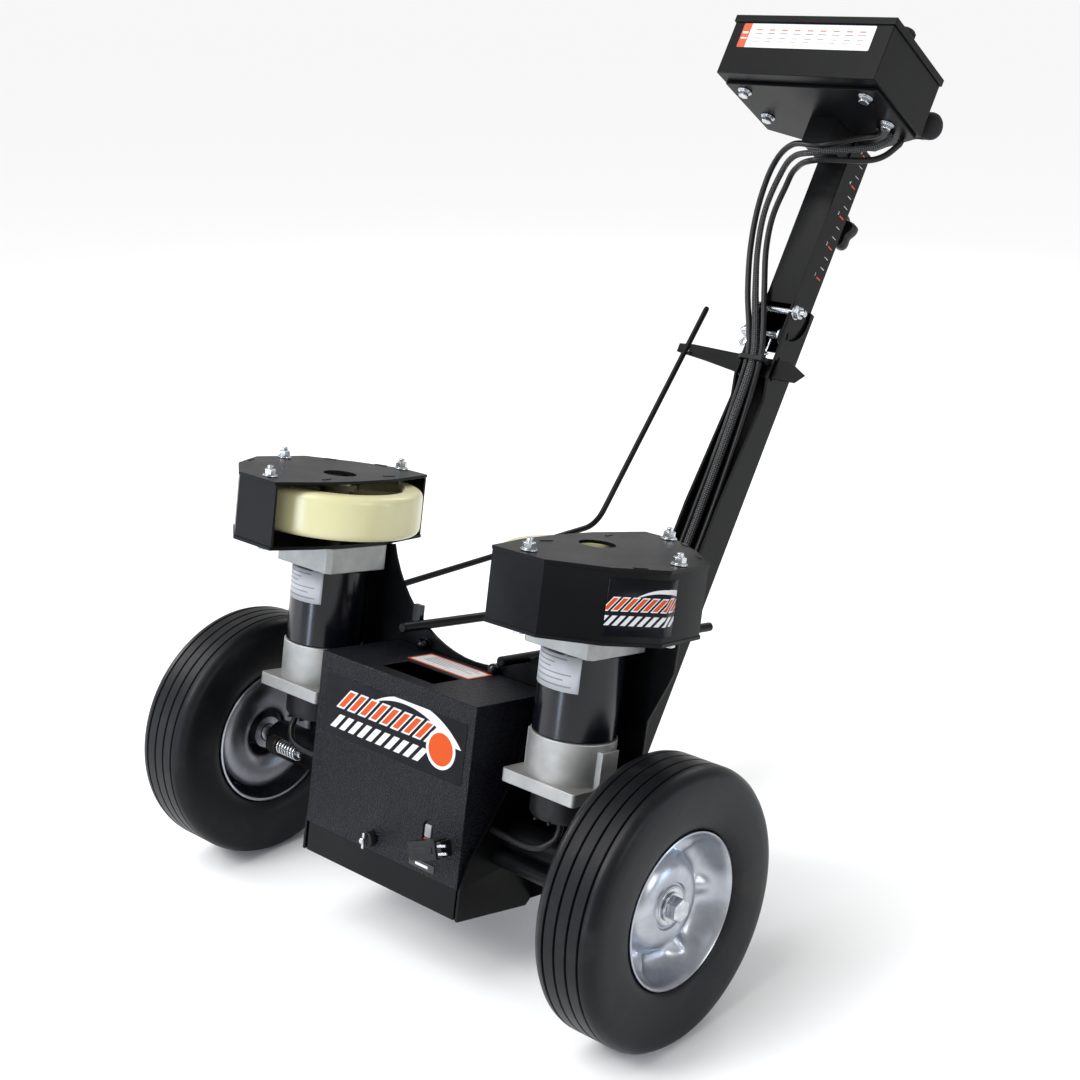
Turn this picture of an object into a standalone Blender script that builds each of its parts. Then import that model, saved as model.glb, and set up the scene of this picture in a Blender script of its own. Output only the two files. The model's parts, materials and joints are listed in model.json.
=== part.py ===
"""Two-wheel ball throwing machine on a pair of ground wheels, with a folding mast and a control box.

Metres, +Z up. The origin is on the floor, at the middle of the rear foot's sole. The machine throws
towards -Y, and +X is on the left of a ball in flight.
Two tilted frames carry most of the parts. In the head frame y runs back and z runs up the leaning
throwing head, with the axle at its origin. In the mast frame y runs to the rear of the mast and z
runs up along it.
"""

import math

import bmesh
import bpy
from mathutils import Matrix, Vector

GAP = 0.0003

# Ground wheels and axle
TYRE_RADIUS = 0.127
TYRE_WIDTH = 0.066
TRACK_HALF = 0.267
RIM_RADIUS = 0.0708
STUB_RADIUS = 0.019
AXLE_HEIGHT = TYRE_RADIUS
AXLE_Y = -0.234

# Throwing head
HEAD_LEAN = math.radians(10)
WHEEL_X = 0.165
WHEEL_Y = -0.014
THROW_RADIUS = 0.083
THROW_LOW = 0.240
THROW_HIGH = 0.283
GUARD_FLOOR = 0.227
GUARD_TOP = 0.292
GUARD_SHEET = 0.003
WALL_SHEET = 0.0025
WALL_INSET = 0.0012
BALL_RADIUS = 0.110
YOKE_FRONT = 0.0283
YOKE_SHEET = 0.003
CRADLE_RADIUS = 0.130
CRADLE_HEIGHT = 0.269
RAIL_X = 0.0645
RAIL_Z = 0.160
RAIL_RADIUS = 0.00475
RAIL_BACK = 0.318

# Battery box
BOX_HALF = 0.1015
BOX_FRONT = -0.0725
BOX_BACK = 0.0265
BOX_TOP = 0.136
BOX_SEAM = -0.034
BOX_FLOOR = -0.0635
COVER_SHEET = 0.0016

# Motors
MOUNT_SIDE = 0.079
MOUNT_LOW = 0.2015
CAN_RADIUS = 0.0375
BELL_HIGH = 0.124
FLANGE_HIGH = 0.0855
FLANGE_LOW = 0.0735
FLANGE_SIDE = 0.084
CAP_LOW = 0.046

# Mast
MAST_LEAN = math.radians(33)
MAST_BASE = Vector((0, AXLE_Y + 0.5857, AXLE_HEIGHT + 0.450))
TUBE_HALF = 0.019
TUBE_WALL = 0.0025
TUBE_LOW = -0.104
TUBE_TOP = 0.1435
CHANNEL_HALF = 0.0225
CHANNEL_WALL = 0.003
CHANNEL_LOW = -0.655
CHANNEL_TOP = -0.053
PIVOT_N = -0.015
PIVOT_A = -0.066
LOCK_N = -0.010
LOCK_A = -0.093
SPINE_HALF = 0.019
SPINE_WALL = 0.0025
SPINE_HEIGHT = AXLE_HEIGHT - 0.006
BOLT_RADIUS = 0.004

# Control box, in the mast frame
PANEL_HALF = 0.100
PANEL_FRONT = -0.144
PANEL_BACK = -0.0245
CASE_LOW = 0.1476
CASE_HIGH = 0.2165
LID_SHEET = 0.0015
DIAL_X = 0.082
DIAL_N = -0.094

CABLE_RADIUS = 0.0034


def material(name, colour, roughness, metallic=0.0):
    found = bpy.data.materials.new(name)
    found.use_nodes = True
    shader = found.node_tree.nodes["Principled BSDF"]
    shader.inputs["Base Color"].default_value = (*colour, 1)
    shader.inputs["Roughness"].default_value = roughness
    shader.inputs["Metallic"].default_value = metallic
    return found


def clear_scene():
    for obj in list(bpy.data.objects):
        bpy.data.objects.remove(obj)


def empty(name, location, lean):
    frame = bpy.data.objects.new(name, None)
    frame.location = location
    frame.rotation_euler = (-lean, 0, 0)
    bpy.context.scene.collection.objects.link(frame)
    return frame


def publish(name, shape, finish=None, parent=None, at=(0, 0, 0), smooth=True):
    """Turns a bmesh into a named object; a shape without a finish is a cutter."""
    bmesh.ops.remove_doubles(shape, verts=shape.verts, dist=1e-6)
    bmesh.ops.recalc_face_normals(shape, faces=shape.faces)
    mesh = bpy.data.meshes.new(name)
    shape.to_mesh(mesh)
    shape.free()
    if smooth:
        mesh.shade_smooth()
        mesh.set_sharp_from_angle(angle=math.radians(35))
    obj = bpy.data.objects.new(name, mesh)
    obj.parent = parent
    obj.location = at
    bpy.context.scene.collection.objects.link(obj)
    if finish is None:
        obj.hide_render = True
        obj.display_type = "WIRE"
    else:
        mesh.materials.append(finish)
    return obj


def join(base, tool, how):
    modifier = base.modifiers.new(how.title(), "BOOLEAN")
    modifier.operation = how
    modifier.solver = "EXACT"
    modifier.object = tool
    return base


def block(low, high):
    shape = bmesh.new()
    low, high = Vector(low), Vector(high)
    size = high - low
    place = Matrix.Translation((low + high) / 2) @ Matrix.Diagonal((*size, 1))
    bmesh.ops.create_cube(shape, size=1, matrix=place)
    return shape


def bevelled(shape, width, segments=1):
    bmesh.ops.bevel(shape, geom=list(shape.edges), offset=width, segments=segments, affect="EDGES")
    return shape


TO_AXIS = {
    "X": Matrix(((0, 0, 1, 0), (1, 0, 0, 0), (0, 1, 0, 0), (0, 0, 0, 1))),
    "Y": Matrix(((0, 1, 0, 0), (0, 0, 1, 0), (1, 0, 0, 0), (0, 0, 0, 1))),
    "Z": Matrix.Identity(4),
}


def prism(outline, low, high, axis="Z"):
    """Extrudes a flat outline from low to high. The outline is (x, y), (y, z) or (z, x) for Z, X or Y."""
    shape = bmesh.new()
    face = shape.faces.new([shape.verts.new((u, v, low)) for u, v in outline])
    grown = bmesh.ops.extrude_face_region(shape, geom=[face])["geom"]
    top = [item for item in grown if isinstance(item, bmesh.types.BMVert)]
    bmesh.ops.translate(shape, verts=top, vec=(0, 0, high - low))
    shape.transform(TO_AXIS[axis])
    return shape


def turned(profile, steps, axis="Z", closed=False):
    """Spins (radius, height) points about an axis. A closed profile makes a ring."""
    shape = bmesh.new()
    points = [shape.verts.new((radius, 0, height)) for radius, height in profile]
    pairs = list(zip(points, points[1:]))
    if closed:
        pairs.append((points[-1], points[0]))
    edges = [shape.edges.new(pair) for pair in pairs]
    bmesh.ops.spin(
        shape, geom=points + edges, cent=(0, 0, 0), axis=(0, 0, 1), angle=math.tau, steps=steps
    )
    bmesh.ops.remove_doubles(shape, verts=shape.verts, dist=1e-6)
    shape.transform(TO_AXIS[axis])
    return shape


def rod(radius, low, high, steps=16, axis="Z", chamfer=0.0):
    inner = radius - chamfer
    profile = [(0, low), (inner, low), (radius, low + chamfer), (radius, high - chamfer), (inner, high), (0, high)]
    if chamfer == 0:
        profile = [(0, low), (radius, low), (radius, high), (0, high)]
    return turned(profile, steps, axis)


def moved(shape, by):
    bmesh.ops.translate(shape, verts=shape.verts, vec=by)
    return shape


def arc(centre, radius, start, end, count):
    """Points along a circle, from one angle in degrees to the other."""
    found = []
    for step in range(count + 1):
        angle = math.radians(start + (end - start) * step / count)
        found.append((centre[0] + radius * math.cos(angle), centre[1] + radius * math.sin(angle)))
    return found


def mirrored(outline, side):
    return [(side * x, y) for x, y in outline]


def mast_to_world(x, n, a):
    c, s = math.cos(MAST_LEAN), math.sin(MAST_LEAN)
    return MAST_BASE + Vector((x, n * c + a * s, a * c - n * s))


def mast_depth(n, height):
    """World y of the mast plane at this n, at a height above the floor."""
    c, s = math.cos(MAST_LEAN), math.sin(MAST_LEAN)
    a = (height - MAST_BASE.z + n * s) / c
    return MAST_BASE.y + n * c + a * s


def head_depth(y, height):
    """World y of the head-frame plane at this y, at a height above the floor."""
    return AXLE_Y + (y + (height - AXLE_HEIGHT) * math.sin(HEAD_LEAN)) / math.cos(HEAD_LEAN)


def head_to_world(x, y, z):
    c, s = math.cos(HEAD_LEAN), math.sin(HEAD_LEAN)
    return Vector((x, AXLE_Y + y * c + z * s, AXLE_HEIGHT + z * c - y * s))


def smooth_route(points, spacing):
    """Reads even steps off a centripetal curve through the route's own points."""
    points = [Vector(point) for point in points]
    ends = [points[0] * 2 - points[1]] + points + [points[-1] * 2 - points[-2]]
    found = [points[0]]
    for p0, p1, p2, p3 in zip(ends, ends[1:], ends[2:], ends[3:]):
        knots = [0.0]
        for a, b in ((p0, p1), (p1, p2), (p2, p3)):
            knots.append(knots[-1] + max((b - a).length, 1e-6) ** 0.5)
        t0, t1, t2, t3 = knots
        count = max(2, round((p2 - p1).length / spacing))
        for step in range(1, count + 1):
            t = t1 + (t2 - t1) * step / count
            a1 = p0 * ((t1 - t) / (t1 - t0)) + p1 * ((t - t0) / (t1 - t0))
            a2 = p1 * ((t2 - t) / (t2 - t1)) + p2 * ((t - t1) / (t2 - t1))
            a3 = p2 * ((t3 - t) / (t3 - t2)) + p3 * ((t - t2) / (t3 - t2))
            b1 = a1 * ((t2 - t) / (t2 - t0)) + a2 * ((t - t0) / (t2 - t0))
            b2 = a2 * ((t3 - t) / (t3 - t1)) + a3 * ((t - t1) / (t3 - t1))
            found.append(b1 * ((t2 - t) / (t2 - t1)) + b2 * ((t - t1) / (t2 - t1)))
    return found


def cord(name, points, radius, finish, resolution=2):
    curve = bpy.data.curves.new(name, "CURVE")
    curve.dimensions = "3D"
    curve.bevel_depth = radius
    curve.bevel_resolution = resolution
    curve.use_fill_caps = True
    curve.twist_mode = "MINIMUM"
    spline = curve.splines.new("POLY")
    spline.points.add(len(points) - 1)
    for target, point in zip(spline.points, points):
        target.co = (*point, 1)
    obj = bpy.data.objects.new(name, curve)
    curve.materials.append(finish)
    bpy.context.scene.collection.objects.link(obj)
    return obj


def ground_wheel(tag, side, finish):
    """A ribbed tyre on a pressed rim, turning about the axle."""
    half = TYRE_WIDTH / 2
    shoulder = 0.006
    bead = RIM_RADIUS + GAP
    tread = TYRE_RADIUS
    profile = [(tread, -half + shoulder), (tread, half - shoulder), (tread - 0.002, half - 0.0018)]
    profile += [(tread - shoulder, half), (bead, half - 0.006), (bead, -half + 0.006)]
    profile += [(tread - shoulder, -half), (tread - 0.002, -half + 0.0018)]
    centre = (side * TRACK_HALF, AXLE_Y, AXLE_HEIGHT)
    publish(f"tyre_{tag}", turned(profile, 44, "X", True), finish["rubber"], None, centre)
    lip = half - 0.006
    disc = [(RIM_RADIUS, lip), (0.066, lip), (0.058, lip - 0.014), (0.044, lip - 0.022), (0.034, lip - 0.010)]
    disc += [(0.018, lip - 0.016), (0.0092, lip - 0.016), (0.0092, -lip + 0.014), (0.018, -lip + 0.014)]
    disc += [(0.034, -lip + 0.010), (0.044, -lip + 0.020), (0.058, -lip + 0.013), (0.066, -lip), (RIM_RADIUS, -lip)]
    if side < 0:
        disc = [(radius, -height) for radius, height in disc]
    publish(f"rim_{tag}", turned(disc, 28, "X", True), finish["steel"], None, centre)


def hub_bolt(tag, side, finish):
    """Axle bolt: shank through the hub, washer and hexagon head outside."""
    lip = TYRE_WIDTH / 2 - 0.006
    start = -TYRE_WIDTH / 2 - 0.012
    seat = lip - 0.016 + GAP
    shank = [(0, start), (0.0085, start), (0.0085, seat), (0.017, seat), (0.017, seat + 0.0025)]
    shank += [(0.013, seat + 0.0025), (0.013, seat + 0.007), (0.010, seat + 0.007), (0, seat + 0.007)]
    bolt = publish(f"hub_bolt_{tag}", turned(shank, 18, "X"), finish["zinc"], None, (side * TRACK_HALF, AXLE_Y, AXLE_HEIGHT))
    bolt.rotation_euler = (0, 0, math.pi if side < 0 else 0)
    head = turned([(0, seat + 0.006), (0.011, seat + 0.006), (0.011, seat + 0.016), (0, seat + 0.016)], 6, "X")
    tool = publish(f"hub_head_{tag}", head, None, bolt)
    join(bolt, tool, "UNION")


def side_plate(tag, side, head, finish):
    """Cheek beside the battery box with the axle stub welded on, and a brace bar on the +X side."""
    low, high = BOX_HALF + 0.0005, BOX_HALF + 0.0035
    back = YOKE_FRONT - GAP
    outline = [(back, 0.110), (0.0, 0.110), (-0.020, 0.056), (-0.064, -0.010), (-0.071, -0.034)]
    outline += [(-0.071, -0.0635), (back - 0.006, -0.0685), (back, -0.0625)]
    span = sorted((side * low, side * high))
    plate = publish(f"side_plate_{tag}", prism(outline, *span, "X"), finish["black"], head)
    far = TRACK_HALF - TYRE_WIDTH / 2 - 0.0015
    ends = sorted((side * (high - 0.001), side * far))
    wall = [(STUB_RADIUS, ends[0]), (STUB_RADIUS, ends[1]), (0.0092, ends[1]), (0.0092, ends[0])]
    tool = publish(f"stub_{tag}", turned(wall, 20, "X", True), None, head)
    join(plate, tool, "UNION")
    if side > 0:
        bar = moved(rod(0.008, high - 0.001, far - 0.004, 12, "X", 0.0015), (0, -0.026, -0.010))
        join(plate, publish("brace_bar_shape", bar, None, head), "UNION")


def yoke_plate(head, finish):
    """U-shaped plate behind the motors, cut away on an arc that the ball passes through."""
    low_angle, high_angle = -90, -18.5
    inner = arc((0, CRADLE_HEIGHT), CRADLE_RADIUS, low_angle, high_angle, 12)
    top = GUARD_FLOOR - GAP
    right = inner + [(0.1255, top), (0.233, top), (0.232, 0.188), (0.228, 0.178), (0.211, 0.140)]
    right += [(0.209, 0.080), (0.170, -0.020), (BOX_HALF + 0.0035, -0.0625)]
    left = [(-x, z) for x, z in reversed(right[1:])]
    outline = [(z, x) for x, z in right + left]
    shape = prism(outline, YOKE_FRONT, YOKE_FRONT + YOKE_SHEET, "Y")
    plate = publish("yoke_plate", shape, finish["black"], head)
    for side in (1, -1):
        hole = moved(rod(RAIL_RADIUS + GAP, 0.02, 0.04, 12, "Y"), (side * RAIL_X, 0, RAIL_Z))
        join(plate, publish(f"rail_hole_{side}", hole, None, head), "DIFFERENCE")
    hole = moved(rod(0.0035, 0.02, 0.04, 10, "Y"), (-0.100, 0, 0.1927))
    join(plate, publish("rod_hole", hole, None, head), "DIFFERENCE")


def battery_box(head, finish):
    """Lower tray, textured cover, the battery inside, and the charging connector with its plug."""
    side, low = BOX_HALF - 0.002, BOX_FLOOR
    front, back = BOX_FRONT + 0.002, BOX_BACK - 0.0005
    tray = publish("battery_tray", block((-side, front, low), (side, back, BOX_SEAM + 0.006)), finish["black"], head)
    inside = block((-side + 0.002, front + 0.002, low + 0.002), (side - 0.002, back - 0.002, 0))
    join(tray, publish("tray_hollow", inside, None, head), "DIFFERENCE")

    shell = block((-BOX_HALF, BOX_FRONT, BOX_SEAM), (BOX_HALF, BOX_BACK, BOX_TOP))
    cover = publish("battery_cover", shell, finish["wrinkle"], head)
    sheet = COVER_SHEET
    hollow = block((-BOX_HALF + sheet, BOX_FRONT + sheet, -0.1), (BOX_HALF - sheet, 0.1, BOX_TOP - sheet))
    join(cover, publish("cover_hollow", hollow, None, head), "DIFFERENCE")
    window = block((-0.038, -0.056, 0.1), (0.030, -0.020, 0.2))
    join(cover, publish("hand_hole", window, None, head), "DIFFERENCE")
    slot = arc((0, 0.010), 0.006, 0, 180, 6) + arc((0, -0.010), 0.006, 180, 360, 6)
    slot = [(z + 0.002, x + 0.059) for x, z in slot]
    join(cover, publish("charge_slot", prism(slot, -0.1, -0.05, "Y"), None, head), "DIFFERENCE")
    hole = moved(rod(0.003, -0.1, -0.06, 10, "Y"), (-0.010, 0, -0.022))
    join(cover, publish("latch_hole", hole, None, head), "DIFFERENCE")

    cell = bevelled(block((-0.0905, -0.061, BOX_FLOOR + 0.0023), (0.0905, 0.016, 0.106)), 0.003)
    publish("battery", cell, finish["plastic"], head)

    knob = [(0, -0.0095), (0.006, -0.0095), (0.0075, -0.008), (0.0075, -0.0015), (0.0055, GAP * -1)]
    knob += [(0.0027, -GAP), (0.0027, 0.006), (0, 0.006)]
    publish("latch_knob", turned(knob, 14, "Y"), finish["plastic"], head, (-0.010, BOX_FRONT, -0.022))

    body = block((0.0535, -0.079, -0.0095), (0.0645, BOX_FRONT + 0.008, 0.0135))
    connector = publish("charge_connector", body, finish["red"], head)
    flange = block((0.049, BOX_FRONT + COVER_SHEET + GAP, -0.018), (0.069, BOX_FRONT + 0.006, 0.022))
    join(connector, publish("connector_flange", flange, None, head), "UNION")
    plug = bevelled(block((0, -0.009, -0.0085), (0.046, 0.0085, 0.0085)), 0.0012)
    plug.transform(Matrix.Rotation(-math.radians(20), 4, "Y"))
    tool = publish("plug_shape", plug, None, head, (0.056, -0.087, -0.006))
    join(connector, tool, "UNION")


def motor(tag, side, head, finish):
    """Mounting block, can, end bell with its square flange, and the brush cap below."""
    x, y, half = side * WHEEL_X, WHEEL_Y, MOUNT_SIDE / 2
    edge = 0.005
    outline = [(half, half - edge), (half - edge, half), (edge - half, half), (-half, half - edge)]
    outline += [(-half, edge - half), (edge - half, -half), (half - edge, -half), (half, edge - half)]
    mount = publish(f"motor_mount_{tag}", prism(outline, MOUNT_LOW, GUARD_FLOOR - GAP), finish["aluminium"], head, (x, y, 0))
    bore = rod(0.012, 0.19, 0.24, 16)
    join(mount, publish(f"mount_bore_{tag}", bore, None, head, (x, y, 0)), "DIFFERENCE")
    can = rod(CAN_RADIUS, BELL_HIGH + GAP, MOUNT_LOW - GAP, 32, "Z", 0.001)
    publish(f"motor_can_{tag}", can, finish["gloss"], head, (x, y, 0))
    bell = publish(f"motor_bell_{tag}", rod(0.039, FLANGE_HIGH - 0.003, BELL_HIGH, 32), finish["aluminium"], head, (x, y, 0))
    ear = 0.0435
    lugs = block((-ear, -0.011, FLANGE_HIGH - 0.004), (ear, 0.011, BELL_HIGH - 0.006))
    join(bell, publish(f"bell_lugs_{tag}", lugs, None, head, (x, y, 0)), "UNION")
    half = FLANGE_SIDE / 2
    flange = block((-half, -half, FLANGE_LOW), (half, half, FLANGE_HIGH))
    join(bell, publish(f"bell_flange_{tag}", flange, None, head, (x, y, 0)), "UNION")
    cap = rod(0.031, CAP_LOW, FLANGE_LOW - GAP, 24, "Z", 0.003)
    publish(f"brush_cap_{tag}", cap, finish["plastic"], head, (x, y, 0))


def throw_wheel(tag, side, head, finish):
    """Urethane wheel with a dished web and hub, keyed to its motor shaft."""
    low, high, edge = THROW_LOW, THROW_HIGH, THROW_RADIUS
    profile = [(0, 0.205), (0.007, 0.205), (0.007, low + 0.002), (0.016, low + 0.002), (0.020, low + 0.016)]
    profile += [(0.056, low + 0.016), (0.061, low), (edge - 0.005, low), (edge, low + 0.005), (edge, high - 0.005)]
    profile += [(edge - 0.005, high), (0.061, high), (0.056, high - 0.017), (0.020, high - 0.017)]
    profile += [(0.016, high + 0.003), (0, high + 0.003)]
    wheel = turned(profile, 32)
    publish(f"throw_wheel_{tag}", wheel, finish["urethane"], head, (side * WHEEL_X, WHEEL_Y, 0))


def guard_outline(side):
    """Plan of a wheel guard: open and gently bowed towards the ball, five folded panels outside."""
    outline = [(0.138, -0.118), (0.128, -0.070), (0.1245, -0.025), (0.127, 0.025), (0.141, 0.083)]
    outline += [(0.176, 0.083), (0.218, 0.058), (0.259, 0.022), (0.264, -0.038), (0.237, -0.082), (0.194, -0.116)]
    return mirrored(outline, side)


def wall_path(inset):
    """The outer panels of the guard, pulled in by a distance, as a chain of points."""
    chain = [Vector(point) for point in guard_outline(1)]
    chain = chain[4:] + chain[:1]
    found = []
    for index, point in enumerate(chain):
        normals = []
        for a, b in ((index - 1, index), (index, index + 1)):
            if a < 0 or b >= len(chain):
                continue
            run = (chain[b] - chain[a]).normalized()
            normals.append(Vector((-run.y, run.x)))
        total = sum(normals, Vector((0, 0)))
        normal = total.normalized()
        found.append(point - normal * (inset / normal.dot(normals[0])))
    return found


def guard(tag, side, head, finish):
    """Top plate, a tray of bottom plate and walls, and three through bolts."""
    top = prism(guard_outline(side), GUARD_TOP - GUARD_SHEET, GUARD_TOP)
    lid = publish(f"guard_top_{tag}", top, finish["black"], head)
    eye = rod(0.0165, 0.28, 0.30, 20)
    join(lid, publish(f"guard_eye_{tag}", eye, None, head, (side * WHEEL_X, WHEEL_Y, 0)), "DIFFERENCE")
    floor = prism(guard_outline(side), GUARD_FLOOR, GUARD_FLOOR + GUARD_SHEET)
    tray = publish(f"guard_tray_{tag}", floor, finish["black"], head)
    wide = rod(0.016, 0.22, 0.24, 16)
    join(tray, publish(f"tray_eye_{tag}", wide, None, head, (side * WHEEL_X, WHEEL_Y, 0)), "DIFFERENCE")
    ring = wall_path(WALL_INSET) + list(reversed(wall_path(WALL_INSET + WALL_SHEET)))
    ring = [(side * point.x, point.y) for point in ring]
    wall = prism(ring, GUARD_FLOOR + 0.001, GUARD_TOP - GUARD_SHEET - GAP)
    join(tray, publish(f"guard_wall_{tag}", wall, None, head), "UNION")
    for number, (x, y) in enumerate(((0.165, -0.1025), (0.173, 0.0765), (0.2515, -0.012)), 1):
        hole = moved(rod(0.0033, 0.22, 0.30, 10), (side * x, y, 0))
        tool = publish(f"guard_hole_{tag}_{number}", hole, None, head)
        join(lid, tool, "DIFFERENCE")
        join(tray, tool, "DIFFERENCE")
        seat, roof = GUARD_FLOOR - GAP, GUARD_TOP + GAP
        bolt = [(0, seat - 0.005), (0.0055, seat - 0.005), (0.0055, seat), (0.003, seat), (0.003, roof)]
        bolt += [(0.0075, roof), (0.0075, roof + 0.0012), (0.0055, roof + 0.0012), (0.0055, roof + 0.0065)]
        bolt += [(0.003, roof + 0.0065), (0.003, roof + 0.0105), (0, roof + 0.0105)]
        publish(f"guard_bolt_{tag}_{number}", turned(bolt, 8), finish["zinc"], head, (side * x, y, 0))


def ball_rail(tag, side, head, finish):
    shape = rod(RAIL_RADIUS, -0.0075, RAIL_BACK, 12, "Y", 0.001)
    publish(f"ball_rail_{tag}", shape, finish["black"], head, (side * RAIL_X, 0, RAIL_Z))


def guide_rod(finish):
    """Bent rod from the yoke arm, level to a bend and then up through the mast bracket."""
    x = -0.100
    start = head_to_world(x, YOKE_FRONT - 0.004, 0.1927)
    bend = Vector((x, AXLE_Y + 0.349, AXLE_HEIGHT + 0.178))
    top = Vector((x, AXLE_Y + 0.5415, AXLE_HEIGHT + 0.393))
    before = bend + (start - bend).normalized() * 0.020
    after = bend + (top - bend).normalized() * 0.020
    points = [start]
    for step in range(7):
        t = step / 6
        points.append(before * (1 - t) ** 2 + bend * (2 * t * (1 - t)) + after * t**2)
    points.append(top)
    cord("guide_rod", points, 0.0031, finish["black"])


def mast_channel(mast, finish):
    """U-channel open to the front, slotted at the top for the folding tube, with the spine to the yoke."""
    half, wall = CHANNEL_HALF, CHANNEL_WALL
    outline = [(-half, -0.019), (-half + wall, -0.019), (-half + wall, half - wall), (half - wall, half - wall)]
    outline += [(half - wall, -0.019), (half, -0.019), (half, half), (-half, half)]
    channel = publish("mast_channel", prism(outline, CHANNEL_LOW, CHANNEL_TOP), finish["black"], mast)
    relief = block((-half + wall, 0.010, -0.1195), (half - wall, 0.04, 0.0))
    join(channel, publish("web_relief", relief, None, mast), "DIFFERENCE")
    taper = [(-0.05, -0.30), (-0.019, -0.30), (-0.010, -0.17), (-0.0195, -0.145), (-0.0195, 0.0), (-0.05, 0.0)]
    join(channel, publish("flange_taper", prism(taper, -0.05, 0.05, "X"), None, mast), "DIFFERENCE")
    eye = moved(rod(BOLT_RADIUS + GAP, -0.05, 0.05, 12, "X"), (0, PIVOT_N, PIVOT_A))
    join(channel, publish("pivot_hole", eye, None, mast), "DIFFERENCE")
    reach = math.hypot(LOCK_N - PIVOT_N, LOCK_A - PIVOT_A)
    start = math.degrees(math.atan2(LOCK_A - PIVOT_A, LOCK_N - PIVOT_N))
    width = BOLT_RADIUS + 0.0004
    path = arc((PIVOT_N, PIVOT_A), reach + width, start - 10, 70, 12)
    path += arc((PIVOT_N, PIVOT_A), reach - width, 70, start - 10, 12)
    join(channel, publish("lock_slot", prism(path, -0.05, 0.05, "X"), None, mast), "DIFFERENCE")
    slit = block((-0.05, -0.0148, -0.147), (0.05, -0.0108, -0.119))
    join(channel, publish("bracket_slit", slit, None, mast), "DIFFERENCE")

    spine = spine_bar(SPINE_HALF, GAP, half - wall / 2)
    join(channel, publish("spine_shape", spine, None), "UNION")
    bore = spine_bar(SPINE_HALF - SPINE_WALL, -0.01, half - wall)
    join(channel, publish("spine_bore", bore, None), "DIFFERENCE")
    entry = block((-0.0135, AXLE_Y + 0.279, SPINE_HEIGHT), (0.0135, AXLE_Y + 0.304, SPINE_HEIGHT + 0.03))
    join(channel, publish("cable_entry", entry, None), "DIFFERENCE")


def spine_bar(half, clear, web):
    """Square bar from behind the yoke to the mast, its ends cut to the lean of each."""
    low, high = SPINE_HEIGHT - half, SPINE_HEIGHT + half
    rear = YOKE_FRONT + YOKE_SHEET + clear
    outline = [(head_depth(rear, low), low), (mast_depth(web, low), low)]
    outline += [(mast_depth(web, high), high), (head_depth(rear, high), high)]
    return prism(outline, -half, half, "X")


def rear_foot(mast, finish):
    """Rubber shoe under the mast, its sole level with the bottom of the tyres."""
    pad = bevelled(block((-0.032, -0.032, 0), (0.032, 0.032, 0.024)), 0.004)
    shoe = publish("rear_foot", pad, finish["rubber"])
    socket = block((-CHANNEL_HALF - GAP, -0.0195, CHANNEL_LOW - GAP), (CHANNEL_HALF + GAP, CHANNEL_HALF + GAP, 0))
    join(shoe, publish("foot_socket", socket, None, mast), "DIFFERENCE")


def mast_bracket(mast, finish):
    """Flat wing through the channel; the guide rod runs through its long end."""
    outline = [(-0.112, -0.122), (-0.092, -0.1205), (-0.045, -0.122), (-0.024, -0.1225), (0.040, -0.1225)]
    outline += [(0.062, -0.134), (0.052, -0.1445), (-0.020, -0.1445), (-0.070, -0.137), (-0.112, -0.132)]
    shape = prism([(z, x) for x, z in outline], -0.0142, -0.0114, "Y")
    wing = publish("mast_bracket", shape, finish["black"], mast)
    hole = rod(0.0038, -0.05, 0.05, 12)
    hole.transform(Matrix.Rotation(-math.radians(90 - 48.2), 4, "X"))
    tool = publish("rod_clearance", hole, None, None, (-0.100, AXLE_Y + 0.5135, AXLE_HEIGHT + 0.3617))
    join(wing, tool, "DIFFERENCE")


def mast_tube(mast, pivot, finish):
    """Square scale tube with a notched foot and the arm that carries the control box."""
    half, wall = TUBE_HALF, TUBE_WALL
    at = Vector((0, -PIVOT_N, -PIVOT_A))
    tube = publish("mast_tube", block((-half, -half, TUBE_LOW), (half, half, TUBE_TOP)), finish["black"], pivot, at)
    inner = half - wall
    bore = block((-inner, -inner, TUBE_LOW - 0.01), (inner, inner, TUBE_TOP + 0.01))
    join(tube, publish("tube_bore", bore, None, pivot, at), "DIFFERENCE")
    notch = block((-inner, -0.05, TUBE_LOW - 0.01), (inner, 0, -0.058))
    join(tube, publish("tube_notch", notch, None, pivot, at), "DIFFERENCE")
    for name, n, a in (("pivot", PIVOT_N, PIVOT_A), ("lock", LOCK_N, LOCK_A)):
        hole = moved(rod(BOLT_RADIUS + GAP, -0.05, 0.05, 12, "X"), (0, n, a))
        join(tube, publish(f"tube_{name}_hole", hole, None, pivot, at), "DIFFERENCE")
    arm = block((-0.017, -0.065, 0.112), (0.017, -half + 0.001, TUBE_TOP))
    join(tube, publish("box_arm", arm, None, pivot, at), "UNION")
    boss = moved(rod(0.009, half - 0.001, 0.029, 14, "Y"), (0, 0, 0.057))
    join(tube, publish("knob_boss", boss, None, pivot, at), "UNION")
    thread = moved(rod(0.0040, 0.010, 0.05, 10, "Y"), (0, 0, 0.057))
    join(tube, publish("knob_thread", thread, None, pivot, at), "DIFFERENCE")


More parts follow.
